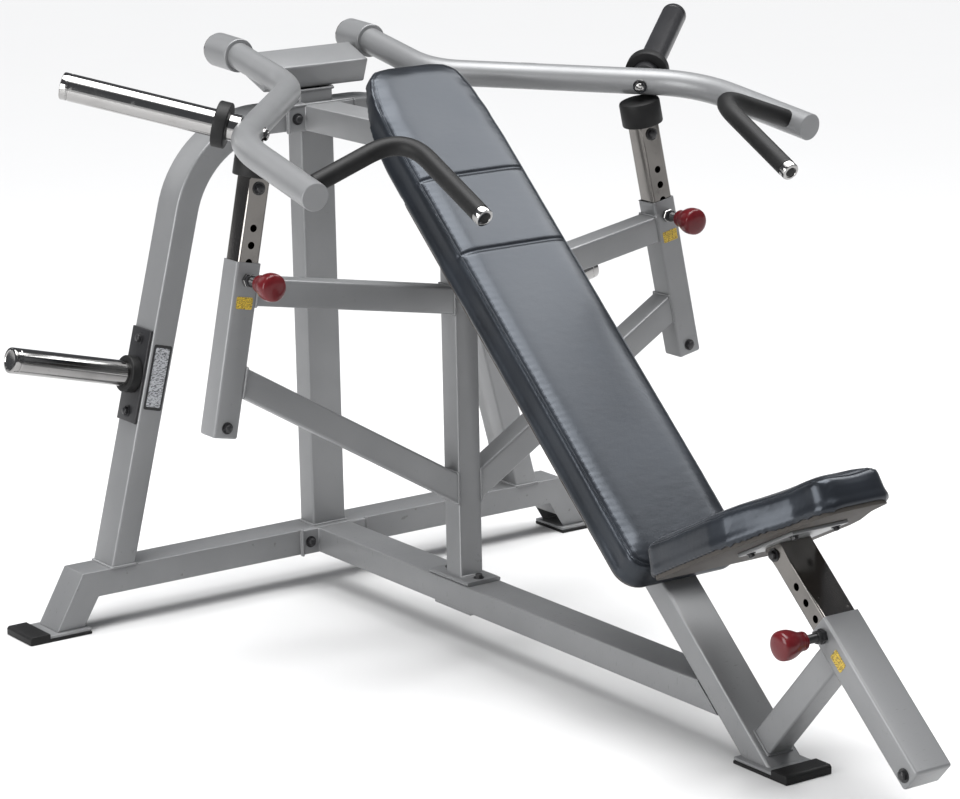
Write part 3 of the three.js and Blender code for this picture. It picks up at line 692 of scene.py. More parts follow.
def mesh_of(vertices: Sequence, faces: Sequence, edges: Sequence = ()) -> bpy.types.Mesh:
    """A new mesh from plain lists.

    Args:
        vertices: Places in metres.
        faces: The corners of each face, as places in the list of vertices.
        edges: The ends of each loose edge, likewise.

    Returns:
        The mesh.
    """
    mesh = bpy.data.meshes.new("shape")
    mesh.from_pydata([tuple(v) for v in vertices], list(edges), list(faces))
    mesh.update()
    return mesh


def smoothed(mesh: bpy.types.Mesh, degrees: float = 32.0) -> bpy.types.Mesh:
    """Shades a mesh smooth except across edges sharper than an angle.

    Args:
        mesh: The mesh, which is changed.
        degrees: The angle.

    Returns:
        The same mesh.
    """
    mesh.polygons.foreach_set("use_smooth", [True] * len(mesh.polygons))
    mesh.set_sharp_from_angle(angle=math.radians(degrees))
    return mesh


def lathe(profile: list[Pair], place: Matrix, sides: int = 56) -> bpy.types.Mesh:
    """Turns a profile round local Z.

    Args:
        profile: (height, radius) pairs in millimetres; radius 0 closes an end.
        place: Where the piece stands.
        sides: Sides of the round section.

    Returns:
        A closed mesh when the profile starts and ends on the axis or on itself.
    """
    vertices, rings = [], []
    for height, radius in profile:
        count = 1 if radius == 0 else sides
        rings.append(range(len(vertices), len(vertices) + count))
        for k in range(count):
            angle = 2 * math.pi * k / sides
            local = Vector((radius * math.cos(angle), radius * math.sin(angle), height)) * MM
            vertices.append(place @ local)
    faces = []
    for low, high in zip(rings, rings[1:]):
        for k in range(sides):
            n = (k + 1) % sides
            loop = [low[k % len(low)], low[n % len(low)], high[n % len(high)], high[k % len(high)]]
            faces.append(list(dict.fromkeys(loop)))
    mesh = mesh_of(vertices, faces)
    if profile[0] == profile[-1]:
        work = bmesh.new()
        work.from_mesh(mesh)
        bmesh.ops.remove_doubles(work, verts=work.verts, dist=SAME_POINT / 2)
        work.to_mesh(mesh)
        work.free()
    return smoothed(outward(mesh))


def outward(mesh: bpy.types.Mesh) -> bpy.types.Mesh:
    """Turns a closed mesh's faces to point out.

    Args:
        mesh: The mesh, which is changed.

    Returns:
        The same mesh.
    """
    work = bmesh.new()
    work.from_mesh(mesh)
    bmesh.ops.recalc_face_normals(work, faces=work.faces)
    if work.calc_volume(signed=True) < 0:
        bmesh.ops.reverse_faces(work, faces=work.faces)
    work.to_mesh(mesh)
    work.free()
    return mesh


def bent_path(corners: list[Vector], reaches: list[float], steps: int = 14) -> list[Vector]:
    """Points of a line whose inner corners are rounded.

    Args:
        corners: The line's corners in metres.
        reaches: How far from each inner corner its curve starts, in metres.
        steps: Points on each curve.

    Returns:
        The path's points.
    """
    points = [corners[0]]
    for before, corner, after, reach in zip(corners, corners[1:], corners[2:], reaches):
        start = corner + (before - corner).normalized() * reach
        end = corner + (after - corner).normalized() * reach
        for k in range(steps + 1):
            t = k / steps
            points.append(start * (1 - t) ** 2 + corner * 2 * t * (1 - t) + end * t * t)
    points.append(corners[-1])
    return points


SWEPT_RIM = 1.2  # the rounding at the ends of a round bar, in millimetres


def swept(points: list[Vector], radius: float, sides: int = 40, closed: bool = False) -> bpy.types.Mesh:
    """A round bar along a path, its ends closed with a small rounded rim.

    Args:
        points: The path in metres.
        radius: The bar's radius in metres.
        sides: Sides of the section.
        closed: Whether the path's end meets its start.

    Returns:
        The bar's mesh.
    """
    vertices, rings = [], []
    normal = None
    stations = [(point, 1.0) for point in points]
    if not closed:
        rim = min(SWEPT_RIM * MM, radius * 0.4)
        lead = (points[1] - points[0]).normalized() * rim
        tail = (points[-1] - points[-2]).normalized() * rim
        stations = [(points[0], 1 - rim / radius), (points[0] + lead, 1.0)]
        stations += [(point, 1.0) for point in points[1:-1]]
        stations += [(points[-1] - tail, 1.0), (points[-1], 1 - rim / radius)]
    places = [place for place, _ in stations]
    count = len(places)
    for k, (point, scale) in enumerate(stations):
        ahead = places[(k + 1) % count] if closed or k < count - 1 else point
        behind = places[k - 1] if closed or k > 0 else point
        tangent = (ahead - behind).normalized()
        seed = normal if normal is not None else tangent.orthogonal()
        normal = (seed - tangent * seed.dot(tangent)).normalized()
        side = tangent.cross(normal)
        rings.append(len(vertices))
        for j in range(sides):
            angle = 2 * math.pi * j / sides
            spoke = normal * math.cos(angle) + side * math.sin(angle)
            vertices.append(point + spoke * (radius * scale))
    faces = []
    for k in range(count if closed else count - 1):
        low, high = rings[k], rings[(k + 1) % count]
        for j in range(sides):
            n = (j + 1) % sides
            faces.append((low + j, low + n, high + n, high + j))
    if not closed:
        faces.append(tuple(range(rings[0], rings[0] + sides)))
        faces.append(tuple(range(rings[-1], rings[-1] + sides)))
    return smoothed(outward(mesh_of(vertices, faces)))


def merged(mesh: bpy.types.Mesh) -> bmesh.types.BMesh:
    """A CAD node's mesh with its loose triangles joined and flat areas made whole faces.

    Args:
        mesh: The CAD mesh, which is only read.

    Returns:
        The working mesh, which the caller frees.
    """
    work = bmesh.new()
    work.from_mesh(mesh)
    bmesh.ops.remove_doubles(work, verts=work.verts, dist=SAME_POINT)
    bmesh.ops.dissolve_limit(
        work, angle_limit=math.radians(1.0), verts=work.verts, edges=work.edges, delimit=set())
    return work


def refined(mesh: bpy.types.Mesh, radius: float, walls_only: bool = True) -> bpy.types.Mesh:
    """A CAD mesh with its corners rounded.

    Args:
        mesh: The CAD node's mesh, which is only read.
        radius: The rounding in millimetres.
        walls_only: Round only the long corners between a tube's walls.

    Returns:
        A new mesh.
    """
    work = merged(mesh)
    sharp = [edge for edge in work.edges
             if len(edge.link_faces) == 2 and edge.calc_face_angle(0) > math.radians(ROUNDED_EDGE)]
    if walls_only:
        sharp = [e for e in sharp if min(f.calc_area() for f in e.link_faces) > END_FACE_AREA]
    bmesh.ops.bevel(
        work, geom=sharp, offset=radius * MM, offset_type="OFFSET", segments=4, profile=0.5,
        affect="EDGES", clamp_overlap=True)
    result = bpy.data.meshes.new("refined")
    work.to_mesh(result)
    work.free()
    return smoothed(result)


def end_loops(mesh: bpy.types.Mesh) -> list[list[Vector]]:
    """The outer corners of each cut end of a rectangular tube.

    Args:
        mesh: The tube's CAD mesh.

    Returns:
        One closed loop of corners for each end.
    """
    work = merged(mesh)
    rims = []
    for edge in work.edges:
        if len(edge.link_faces) != 2 or edge.calc_face_angle(0) < math.radians(WELD_EDGE):
            continue
        areas = sorted(face.calc_area() for face in edge.link_faces)
        if areas[0] < END_FACE_AREA < areas[1]:
            rims.append(edge)
    loops = []
    while rims:
        first = rims.pop()
        chain = [first.verts[0], first.verts[1]]
        while True:
            follow = next((e for e in rims if chain[-1] in e.verts), None)
            if follow is None:
                break
            rims.remove(follow)
            chain.append(follow.other_vert(chain[-1]))
        if len(chain) > 4:
            loops.append([v.co.copy() for v in chain[:-1]])
    work.free()
    outer = []
    for loop in sorted(loops, key=perimeter, reverse=True):
        middle = sum(loop, Vector()) / len(loop)
        if all((middle - sum(o, Vector()) / len(o)).length > RIM_GAP for o in outer):
            outer.append(loop)
    return outer


def perimeter(loop: list[Vector]) -> float:
    """The length round a closed loop of points."""
    return sum((a - b).length for a, b in zip(loop, loop[1:] + loop[:1]))


def path_mesh(paths: list[list[Vector]], closed: bool) -> bpy.types.Mesh:
    """A mesh of edges only, one chain for each path.

    Args:
        paths: Each path's points.
        closed: Whether each path's end meets its start.

    Returns:
        The mesh.
    """
    vertices, edges = [], []
    for path in paths:
        start = len(vertices)
        vertices.extend(path)
        edges += [(start + k, start + k + 1) for k in range(len(path) - 1)]
        if closed:
            edges.append((start + len(path) - 1, start))
    return mesh_of(vertices, (), edges)


def point_mesh(points: list[tuple[Vector, Vector]]) -> bpy.types.Mesh:
    """A mesh of loose points, each with its axis as an attribute.

    Args:
        points: Each point with its axis.

    Returns:
        The mesh.
    """
    mesh = mesh_of([point for point, _ in points], ())
    axes = mesh.attributes.new("axis", "FLOAT_VECTOR", "POINT")
    axes.data.foreach_set("vector", [value for _, axis in points for value in axis])
    return mesh


def rounded_outline(width: float, length: float, corner: float, steps: int = 6) -> list[Pair]:
    """A rounded rectangle round (0, 0), counter-clockwise, in millimetres.

    Args:
        width: Its size along X.
        length: Its size along Y.
        corner: The corners' radius.
        steps: Sides of each corner.

    Returns:
        The outline's points.
    """
    points = []
    for turn, (sx, sy) in enumerate(((1, 1), (-1, 1), (-1, -1), (1, -1))):
        for k in range(steps + 1):
            angle = math.pi / 2 * (turn + k / steps)
            points.append((
                sx * (width / 2 - corner) + corner * math.cos(angle),
                sy * (length / 2 - corner) + corner * math.sin(angle)))
    return points


def slab(outline: list[Pair], low: float, high: float, place: Matrix,
         round_off: float = 0.2) -> bpy.types.Mesh:
    """A flat plate with rounded rims, in millimetres.

    Args:
        outline: The plate's outline, counter-clockwise.
        low: Its underside's local height.
        high: Its top's local height.
        place: Where it lies.
        round_off: The rims' rounding.

    Returns:
        The plate's mesh.
    """
    count = len(outline)
    vertices = [place @ (Vector((x, y, z)) * MM) for z in (low, high) for x, y in outline]
    faces = [tuple(range(count))[::-1], tuple(range(count, 2 * count))]
    faces += [(k, (k + 1) % count, count + (k + 1) % count, count + k) for k in range(count)]
    work = bmesh.new()
    work.from_mesh(mesh_of(vertices, faces))
    rim = [e for e in work.edges if e.calc_face_angle(0) > math.radians(60)]
    bmesh.ops.bevel(work, geom=rim, offset=round_off * MM, segments=2, affect="EDGES")
    mesh = bpy.data.meshes.new("slab")
    work.to_mesh(mesh)
    work.free()
    return smoothed(outward(mesh))


# ---------------------------------------------------------------------------
# Workshop: publishes pieces into the scene
# ---------------------------------------------------------------------------


class Workshop:
    """What every sub-assembly shares: the frame, the palette and the node trees."""

    def __init__(self, frame: dict) -> None:
        """Reads the frame and prepares the trees."""
        self.frame = frame
        self.palette = Palette()
        self.bolts = bolt_tree()
        self.beads = bead_tree()
        low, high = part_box("base_crossbar")
        self.rear = (low[1] + high[1]) / 2
        bodies = frame["record"]["behaviour"]["bodies"]
        self.body_of = {node: body for body, nodes in bodies.items() for node in nodes}

    def at(self, x: float, y: float, z: float) -> Vector:
        """A point in metres from millimetres, with y measured from the rear crossbar."""
        return Vector((x * MM, self.rear + y * MM, z * MM))

    def cad(self, node: str) -> bpy.types.Mesh:
        """The CAD mesh of a node."""
        return self.frame["nodes"][node].data

    def publish(self, name: str, mesh: bpy.types.Mesh, body: str, slot: Slot,
                finish: Finish | None = None, stands_for: tuple[str, ...] = ()) -> bpy.types.Object:
        """Puts a finished piece in the scene.

        Args:
            name: The piece's name.
            mesh: Its mesh, in place.
            body: The CAD body that it rides on.
            slot: The record's slot of its finish.
            finish: A finish other than the slot's own, or None.
            stands_for: The CAD nodes that it replaces.

        Returns:
            The new object.
        """
        mesh.materials.clear()
        mesh.materials.append(self.palette.of(finish or slot))
        piece = bpy.data.objects.new(name, mesh)
        bpy.context.collection.objects.link(piece)
        if stands_for:
            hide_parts(*stands_for)
        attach(piece, body)
        LOG.info("%s: %d faces on %s", name, len(mesh.polygons), body)
        return piece

    def stand_in(self, node: str, mesh: bpy.types.Mesh, slot: Slot) -> bpy.types.Object:
        """Publishes a mesh in place of one CAD node."""
        return self.publish(f"{node}_piece", mesh, self.body_of[node], slot, stands_for=(node,))

    def round_corners(self, node: str, radius: float, slot: Slot, walls_only: bool = True) -> None:
        """Publishes a node's own shape with rounded corners."""
        self.stand_in(node, refined(self.cad(node), radius, walls_only), slot)

    def bolt_set(self, name: str, body: str, points: list[tuple[Vector, Vector]], radius: float = 8.0,
                 height: float = 5.5, slot: Slot = Slot.STEEL) -> None:
        """Publishes bolts.

        Args:
            name: The piece's name.
            body: The CAD body that they ride on.
            points: Where each stands, with its outward axis.
            radius: The head's radius in millimetres.
            height: The head's height in millimetres.
            slot: The finish.
        """
        mesh = self.bolts.run(point_mesh(points), self.palette.of(slot), Head_Radius=radius * MM,
                              Head_Height=height * MM, Washer_Radius=radius * WASHER_WIDTH * MM)
        self.publish(name, mesh, body, slot)


# ---------------------------------------------------------------------------
# Welded frame
# ---------------------------------------------------------------------------


@dataclass
class WeldedFrame:
    """The frame's tubes, plates, feet, weld beads, bolts and labels."""

    shop: Workshop
    corner: float = 5.0
    tubes: tuple[str, ...] = (
        "base_crossbar", "base_beam", "main_upright", "head_box", "left_rear_leg", "right_rear_leg",
        "top_tube", "incline_tube", "center_post", "left_cross_arm", "right_cross_arm", "left_brace",
        "right_brace", "left_stop_sleeve", "right_stop_sleeve", "seat_strut", "seat_sleeve")
    plates: tuple[str, ...] = (
        "left_foot_plate", "right_foot_plate", "front_foot_plate", "post_clamp_plate", "seat_bracket")
    rubber_feet: tuple[str, ...] = ("left_foot_cap", "right_foot_cap", "front_foot_cap")
    welded: tuple[str, ...] = (
        "main_upright", "left_rear_leg", "right_rear_leg", "left_cross_arm", "right_cross_arm",
        "left_brace", "right_brace", "seat_strut", "base_beam", "top_tube")
    bead_pitch: float = 2.6
    bead_length: float = 5.0
    bead_width: float = 6.4
    plate_corner: float = 1.2
    foot_corner: float = 1.8
    storage_corner: float = 1.5
    flange_face: float = -44.5
    flange_bolts: tuple[Pair, ...] = ((-58, 93.1), (58, 93.1), (-57, 949), (57, 949))
    post_y: float = -507.0
    post_bolt: float = 48.0
    plate_top: float = 126.9
    clamp_underside: float = 59.2
    storage_bolt: float = 72.0
    label_z: float = 480.0
    label_y: float = -38.4
    sticker_at: float = 0.34
    sticker_length: float = 30.0
    sticker_angles: Pair = (0.35, 1.45)
    sticker_steps: int = 12

    def build(self) -> None:
        """Makes all of the frame's pieces."""
        for node in self.tubes:
            self.shop.round_corners(node, self.corner, Slot.PAINT)
        for node in self.plates:
            self.shop.round_corners(node, self.plate_corner, Slot.PAINT, walls_only=False)
        for node in self.rubber_feet:
            self.shop.round_corners(node, self.foot_corner, Slot.RUBBER, walls_only=False)
        for side in Side:
            node = f"{side.label}_storage_plate"
            self.shop.round_corners(node, self.storage_corner, Slot.STEEL, walls_only=False)
        self._welds()
        self._bolts()
        self._labels()

    def _welds(self) -> None:
        """Rippled weld beads round the cut ends of the welded tubes."""
        loops = [loop for node in self.welded for loop in end_loops(self.shop.cad(node))]
        mesh = self.shop.beads.run(
            path_mesh(loops, closed=True), self.shop.palette.of(Slot.PAINT), Pitch=self.bead_pitch * MM,
            Length=self.bead_length * MM, Width=self.bead_width * MM)
        self.shop.publish("weld_beads", mesh, "frame", Slot.PAINT)

    def _bolts(self) -> None:
        """Bolts of the flanges, the post's base and the storage plates."""
        at = self.shop.at
        flanges = [(at(x, self.flange_face, z), FRONT) for x, z in self.flange_bolts]
        self.shop.bolt_set("flange_bolts", "frame", flanges, 8.5)
        rows = (self.post_y - self.post_bolt, self.post_y + self.post_bolt)
        base = [(at(0, y, self.plate_top), Z_UP) for y in rows]
        base += [(at(0, y, self.clamp_underside), -Z_UP) for y in rows]
        self.shop.bolt_set("post_base_bolts", "frame", base, 7.5)
        for side in Side:
            storage = StorageHorn(self.shop, side)
            place = storage.place()
            axis = place.to_3x3() @ Z_UP
            points = [(place @ (Vector((along, 0, storage.plate)) * MM), axis)
                      for along in (-self.storage_bolt, self.storage_bolt)]
            self.shop.bolt_set(f"{side.label}_storage_bolts", "frame", points, 8.5)

    def _labels(self) -> None:
        """Blank labels: a bordered grey one on the left leg and a sticker on an arm."""
        leg = StorageHorn(self.shop, Side.LEFT)
        lean = math.radians(leg.lean)
        middle = self.shop.at(-leg.leg_x(self.label_z), self.label_y, self.label_z)
        place = placement(middle, FRONT, Vector((math.sin(lean), 0, math.cos(lean))))
        backing = slab(rounded_outline(40, 128, 4), 0, 0.4, place)
        self.shop.publish("leg_label_backing", backing, "frame", Slot.STEEL)
        face = slab(rounded_outline(31, 116, 2), 0.4, 0.8, place)
        self.shop.publish("leg_label", face, "frame", Slot.PAINT, GREY_LABEL)
        self._tube_sticker()

    def _tube_sticker(self) -> None:
        """A small sticker curved round the right-hand arm's tube."""
        arm = LeverArm(self.shop, Side.RIGHT)
        elbow, bend = arm.point(arm.elbow), arm.point(arm.bend)
        place = placement(elbow.lerp(bend, self.sticker_at), bend - elbow)
        radius = arm.tube_radius + 0.25
        length, steps = self.sticker_length, self.sticker_steps
        start, end = self.sticker_angles
        vertices = []
        for height in (0, length):
            for k in range(steps + 1):
                angle = start + (end - start) * k / steps
                spoke = Vector((radius * math.cos(angle), radius * math.sin(angle), height))
                vertices.append(place @ (spoke * MM))
        row = steps + 1
        faces = [(k, k + 1, row + k + 1, row + k) for k in range(steps)]
        mesh = smoothed(mesh_of(vertices, faces))
        self.shop.publish("arm_sticker", mesh, "right_arm", Slot.PAINT, GREY_LABEL)


@dataclass
class StorageHorn:
    """A storage peg with its rubber collar, on a plate bolted to a rear leg."""

    shop: Workshop
    side: Side
    lean: float = 14.4
    base_x: float = 480.7
    plate_z: float = 483.0
    half_tube: float = 25.7
    plate: float = 6.0
    length: float = 272.0
    radius: float = 25.0
    collar_radius: float = 36.0
    collar: float = 22.0

    def leg_x(self, z: float) -> float:
        """The x of the leg's centre line at a height."""
        base_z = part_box("base_crossbar")[1][2] / MM
        return self.base_x - math.tan(math.radians(self.lean)) * (z - base_z)

    def place(self) -> Matrix:
        """Local +Z runs out along the peg from the leg's outer face."""
        lean = math.radians(self.lean)
        sign = self.side.value
        x = sign * (self.leg_x(self.plate_z) + self.half_tube / math.cos(lean))
        axis = Vector((sign * math.cos(lean), 0, math.sin(lean)))
        return placement(self.shop.at(x, 0, self.plate_z), axis, Vector((0, 1, 0)))

    def build(self) -> None:
        """Makes the peg and its collar."""
        label = self.side.label
        root = self.plate + 0.3
        place = self.place()
        self.shop.stand_in(f"{label}_storage_peg", sleeve_mesh(root, root + self.length, self.radius, place),
                           Slot.CHROME)
        ring = collar_mesh(root, root + self.collar, self.radius + 0.3, self.collar_radius, place)
        self.shop.stand_in(f"{label}_storage_collar", ring, Slot.RUBBER)


def sleeve_mesh(start: float, end: float, radius: float, place: Matrix) -> bpy.types.Mesh:
    """A sleeve with a grooved, dished end, in millimetres along local Z.

    Args:
        start: The local height of its root.
        end: The local height of its end.
        radius: Its radius.
        place: Where it lies.

    Returns:
        The sleeve's mesh.
    """
    profile = [
        (start, 0), (start, radius), (end - 16, radius), (end - 15, radius - 0.8), (end - 13.5, radius - 0.8),
        (end - 12.5, radius), (end - 2.2, radius), (end - 0.7, radius - 0.8), (end, radius - 2.4),
        (end, radius - 5), (end - 1.5, radius - 6.5), (end - 2, radius * 0.35), (end - 2, 0)]
    return lathe(profile, place)


def collar_mesh(start: float, end: float, inner: float, outer: float, place: Matrix) -> bpy.types.Mesh:
    """A rubber ring with rounded rims, in millimetres along local Z.

    Args:
        start: The local height of its first face.
        end: The local height of its second face.
        inner: The hole's radius.
        outer: Its outer radius.
        place: Where it lies.

    Returns:
        The ring's mesh.
    """
    rim = 3.0
    curve = [(rim * (1 - math.cos(a)), rim * (1 - math.sin(a))) for a in np.linspace(0, math.pi / 2, 5)]
    profile = [(start, inner)]
    profile += [(start + height, outer - inset) for height, inset in curve]
    profile += [(end - height, outer - inset) for height, inset in reversed(curve)]
    profile += [(end, inner), (start, inner)]
    return lathe(profile, place)


# ---------------------------------------------------------------------------
# Stops and pull pins
# ---------------------------------------------------------------------------


@dataclass
class PullPin:
    """A threaded plunger with its nut, and a tapered plastic knob."""

    shop: Workshop
    name: str
    place: Matrix
    nut_slot: Slot
    stem: float = 38.0

    def build(self) -> None:
        """Makes the plunger and the knob."""
        bore = 8.0
        nut = [(0.3, 8.6), (0.3, 12.4), (1.2, 13.2), (8, 13.2), (9, 12.4), (9, 8.6), (0.3, 8.6)]
        self.shop.publish(f"{self.name}_pin_nut", lathe(nut, self.place, 6), "frame", self.nut_slot)
        plunger = [(-2.6, 0), (-2.6, bore), (10, bore), (10, 11), (15.4, 11), (16, 10.2)]
        thread = np.arange(16, self.stem - 2, 1.0)
        plunger += [(float(z), 8.0 if k % 2 else 7.4) for k, z in enumerate(thread)]
        plunger += [(self.stem, bore - 0.5), (self.stem, 0)]
        self.shop.stand_in(f"{self.name}_pin_plunger", lathe(plunger, self.place, 36), Slot.STEEL)
        base = self.stem + 0.3
        ribs = [(0, 0), (0, 11.6), (0.8, 12.6), (2.2, 14.6), (3.2, 15.6), (4.6, 16.1), (5.4, 14.9),
                (6.4, 14.9), (7.2, 16.3), (8.8, 16.5), (9.6, 15.3), (10.6, 15.3), (11.4, 16.7), (14, 17)]
        bulb = [(14 + 28 * t, 17 + 8.8 * math.sin(t * math.pi / 2) ** 1.3) for t in np.linspace(0.12, 1, 10)]
        crown = [(42 + 11 * math.sin(a), 24.4 + 1.4 * math.cos(a)) for a in np.linspace(0.3, 1.35, 5)]
        cap = [(52.6 + 7.6 * math.sin(a), 24.6 * math.cos(a) ** 0.8) for a in np.linspace(0.15, 1.5, 9)]
        knob = [(base + z, r) for z, r in ribs + bulb + crown + cap] + [(base + 60.4, 0)]
        self.shop.stand_in(f"{self.name}_pin_knob", lathe(knob, self.place, 48), Slot.KNOB)


@dataclass
class ArmStop:
    """A drilled post in its sleeve, with the rubber bumper that the arm rests on."""

    shop: Workshop
    side: Side
    x: float = 529.5
    y: float = -507.0
    z: float = 480.0
    lean: float = 11.4
    pin: float = 290.0
    half: float = 25.4
    seating: float = 473.3
    bumper_radius: float = 39.5
    bumper_height: float = 47.7
    post_face: float = 22.2
    top_bolt: float = 455.0
    low_bolt: float = 20.0
    tag: float = 248.0

    def place(self) -> Matrix:
        """Local +Z runs up the post, and local -Y is its front."""
        turn = Matrix.Rotation(-self.side.value * math.radians(self.lean), 4, "Y")
        return Matrix.Translation(self.shop.at(self.side.value * self.x, self.y, self.z)) @ turn

    def build(self) -> None:
        """Makes the post, bumper, pin, bolts and label."""
        label = self.side.label
        body = f"{label}_stop"
        self.shop.round_corners(f"{label}_stop_post", 4, Slot.PLATED)
        place = self.place()
        radius, height = self.bumper_radius, self.bumper_height
        block = [(0, 0), (0, radius - 3), (0.9, radius - 0.9), (3, radius), (height - 5, radius),
                 (height - 1.6, radius - 1.4), (height, radius - 5), (height, 0)]
        block = [(self.seating + z, r) for z, r in block]
        self.shop.stand_in(f"{label}_stop_bumper", lathe(block, place), Slot.RUBBER)
        stem = Matrix.Translation(place @ (Vector((0, -self.half, self.pin)) * MM))
        turn = Matrix.Rotation(math.pi / 2, 4, "X")
        PullPin(self.shop, f"{label}_stop", stem @ place.to_3x3().to_4x4() @ turn, Slot.CHROME).build()
        high = place @ (Vector((0, -self.post_face, self.top_bolt)) * MM)
        self.shop.bolt_set(f"{label}_stop_top_bolt", body, [(high, FRONT)], 9, 5)
        low = place @ (Vector((0, -self.half - 0.2, self.low_bolt)) * MM)
        self.shop.bolt_set(f"{label}_sleeve_bolt", "frame", [(low, FRONT)], 8, 5)
        spot = place @ (Vector((0, -self.half - 0.1, self.tag)) * MM)
        tag = placement(spot, FRONT, place.to_3x3() @ Z_UP)
        mesh = slab(rounded_outline(34, 22, 3), 0, 0.5, tag)
        self.shop.publish(f"{label}_pin_label", mesh, "frame", Slot.PAINT, YELLOW_LABEL)


# ---------------------------------------------------------------------------
# Lever arms
# ---------------------------------------------------------------------------


@dataclass
class LeverArm:
    """One lever arm: pivot, bent tube, weight sleeve and bent handle."""

    shop: Workshop
    side: Side
    start: Triple = (152, 12, 1077)
    elbow: Triple = (158, -192, 1037)
    bend: Triple = (511, -585, 1022)
    end: Triple = (540, -881, 972)
    tube_radius: float = 25.4
    sleeve_root: float = 0.793
    sleeve_end: Triple = (690, -277.5, 1107.5)
    handle_root: float = 0.857
    handle_bend: Triple = (337, -848, 1052)
    handle_end: Triple = (331, -1079, 938.5)
    handle_radius: float = 17.0
    cap: float = 14.0
    pivot: Triple = (152, 87, 1081)
    pivot_front: float = 8.0
    pivot_tilt: float = 3.0

    def point(self, place: Triple) -> Vector:
        """A point given for the right-hand arm, on this arm's side."""
        x, y, z = place
        return self.shop.at(self.side.value * x, y, z)

    def build(self) -> None:
        """Makes the arm's pieces."""
        self._pivot()
        self._tube()
        self._weight_sleeve()
        self._handle()

    def _pivot(self) -> None:
        """The fixed bearing housing, with the shaft and washer that turn in it."""
        label = self.side.label
        tilt = math.radians(self.pivot_tilt)
        axis = Vector((0, -math.cos(tilt), -math.sin(tilt)))
        place = placement(self.point(self.pivot), axis)
        length = self.pivot[1] - self.pivot_front
        housing = [(0, 22), (0, 31.5), (1.5, 33), (length - 1.5, 33), (length, 31.5), (length, 22), (0, 22)]
        self.shop.stand_in(f"{label}_pivot_housing", lathe(housing, place), Slot.PAINT)
        shaft = [(-7.5, 0), (-7.5, 8), (-7.5, 10.5), (-7, 10.5), (-7, 28.5), (-6, 30), (-2, 30),
                 (-1, 28.5), (-1, 19), (length + 1, 19), (length + 1, 0)]
        self.shop.stand_in(f"{label}_pivot_shaft", lathe(shaft, place), Slot.CHROME)

    def _tube(self) -> None:
        """The bent tube, cut square at the pivot."""
        start, elbow, bend, end = (self.point(p) for p in (self.start, self.elbow, self.bend, self.end))
        rear = start + (start - elbow).normalized() * (4.5 * MM)
        path = bent_path([rear, elbow, bend, end], [62 * MM, 90 * MM])
        label = self.side.label
        self.shop.stand_in(f"{label}_arm_tube", swept(path, self.tube_radius * MM, 48), Slot.PAINT)

    def _weight_sleeve(self) -> None:
        """The sleeve, its collar and a bolt through the tube."""
        label = self.side.label
        elbow, bend = self.point(self.elbow), self.point(self.bend)
        root = elbow.lerp(bend, self.sleeve_root)
        along = self.point(self.sleeve_end) - root
        place = placement(root, along)
        length = along.length / MM
        finish = Slot.CHROME if self.side is Side.LEFT else Slot.STEEL
        self.shop.stand_in(f"{label}_weight_sleeve", sleeve_mesh(19, length, 25, place), finish)
        self.shop.stand_in(f"{label}_sleeve_collar", collar_mesh(40, 64, 25.3, 42, place), Slot.RUBBER)
        head = root - along.normalized() * (self.tube_radius * MM)
        self.shop.bolt_set(f"{label}_sleeve_root_bolt", f"{label}_arm", [(head, -along.normalized())],
                           10, 5, Slot.CHROME)

    def _handle(self) -> None:
        """The bent rubber grip with its chrome end cap and dark plug."""
        label = self.side.label
        body = f"{label}_arm"
        bend, tip = self.point(self.bend), self.point(self.end)
        corner, end = self.point(self.handle_bend), self.point(self.handle_end)
        root = bend.lerp(tip, self.handle_root)
        outwards = (end - corner).normalized()
        lead = (corner - root).normalized() * (20 * MM)
        grip_end = end - outwards * (self.cap * MM)
        path = bent_path([root + lead, corner, grip_end], [80 * MM])
        self.shop.stand_in(f"{label}_handle_grip", swept(path, self.handle_radius * MM), Slot.RUBBER)
        cap = [(0, 0), (0, 16.5), (11.5, 16.5), (13.2, 15.6), (14, 14), (14, 11), (12.6, 10.4), (12.6, 0)]
        place = placement(grip_end, outwards)
        self.shop.stand_in(f"{label}_handle_cap", lathe(cap, place), Slot.CHROME)
        plug = [(12.7, 0), (12.7, 9.6), (13.6, 9.2), (13.9, 7.5), (13.9, 0)]
        self.shop.publish(f"{label}_handle_plug", lathe(plug, place, 36), body, Slot.RUBBER)


# ---------------------------------------------------------------------------
# Upholstery
# ---------------------------------------------------------------------------


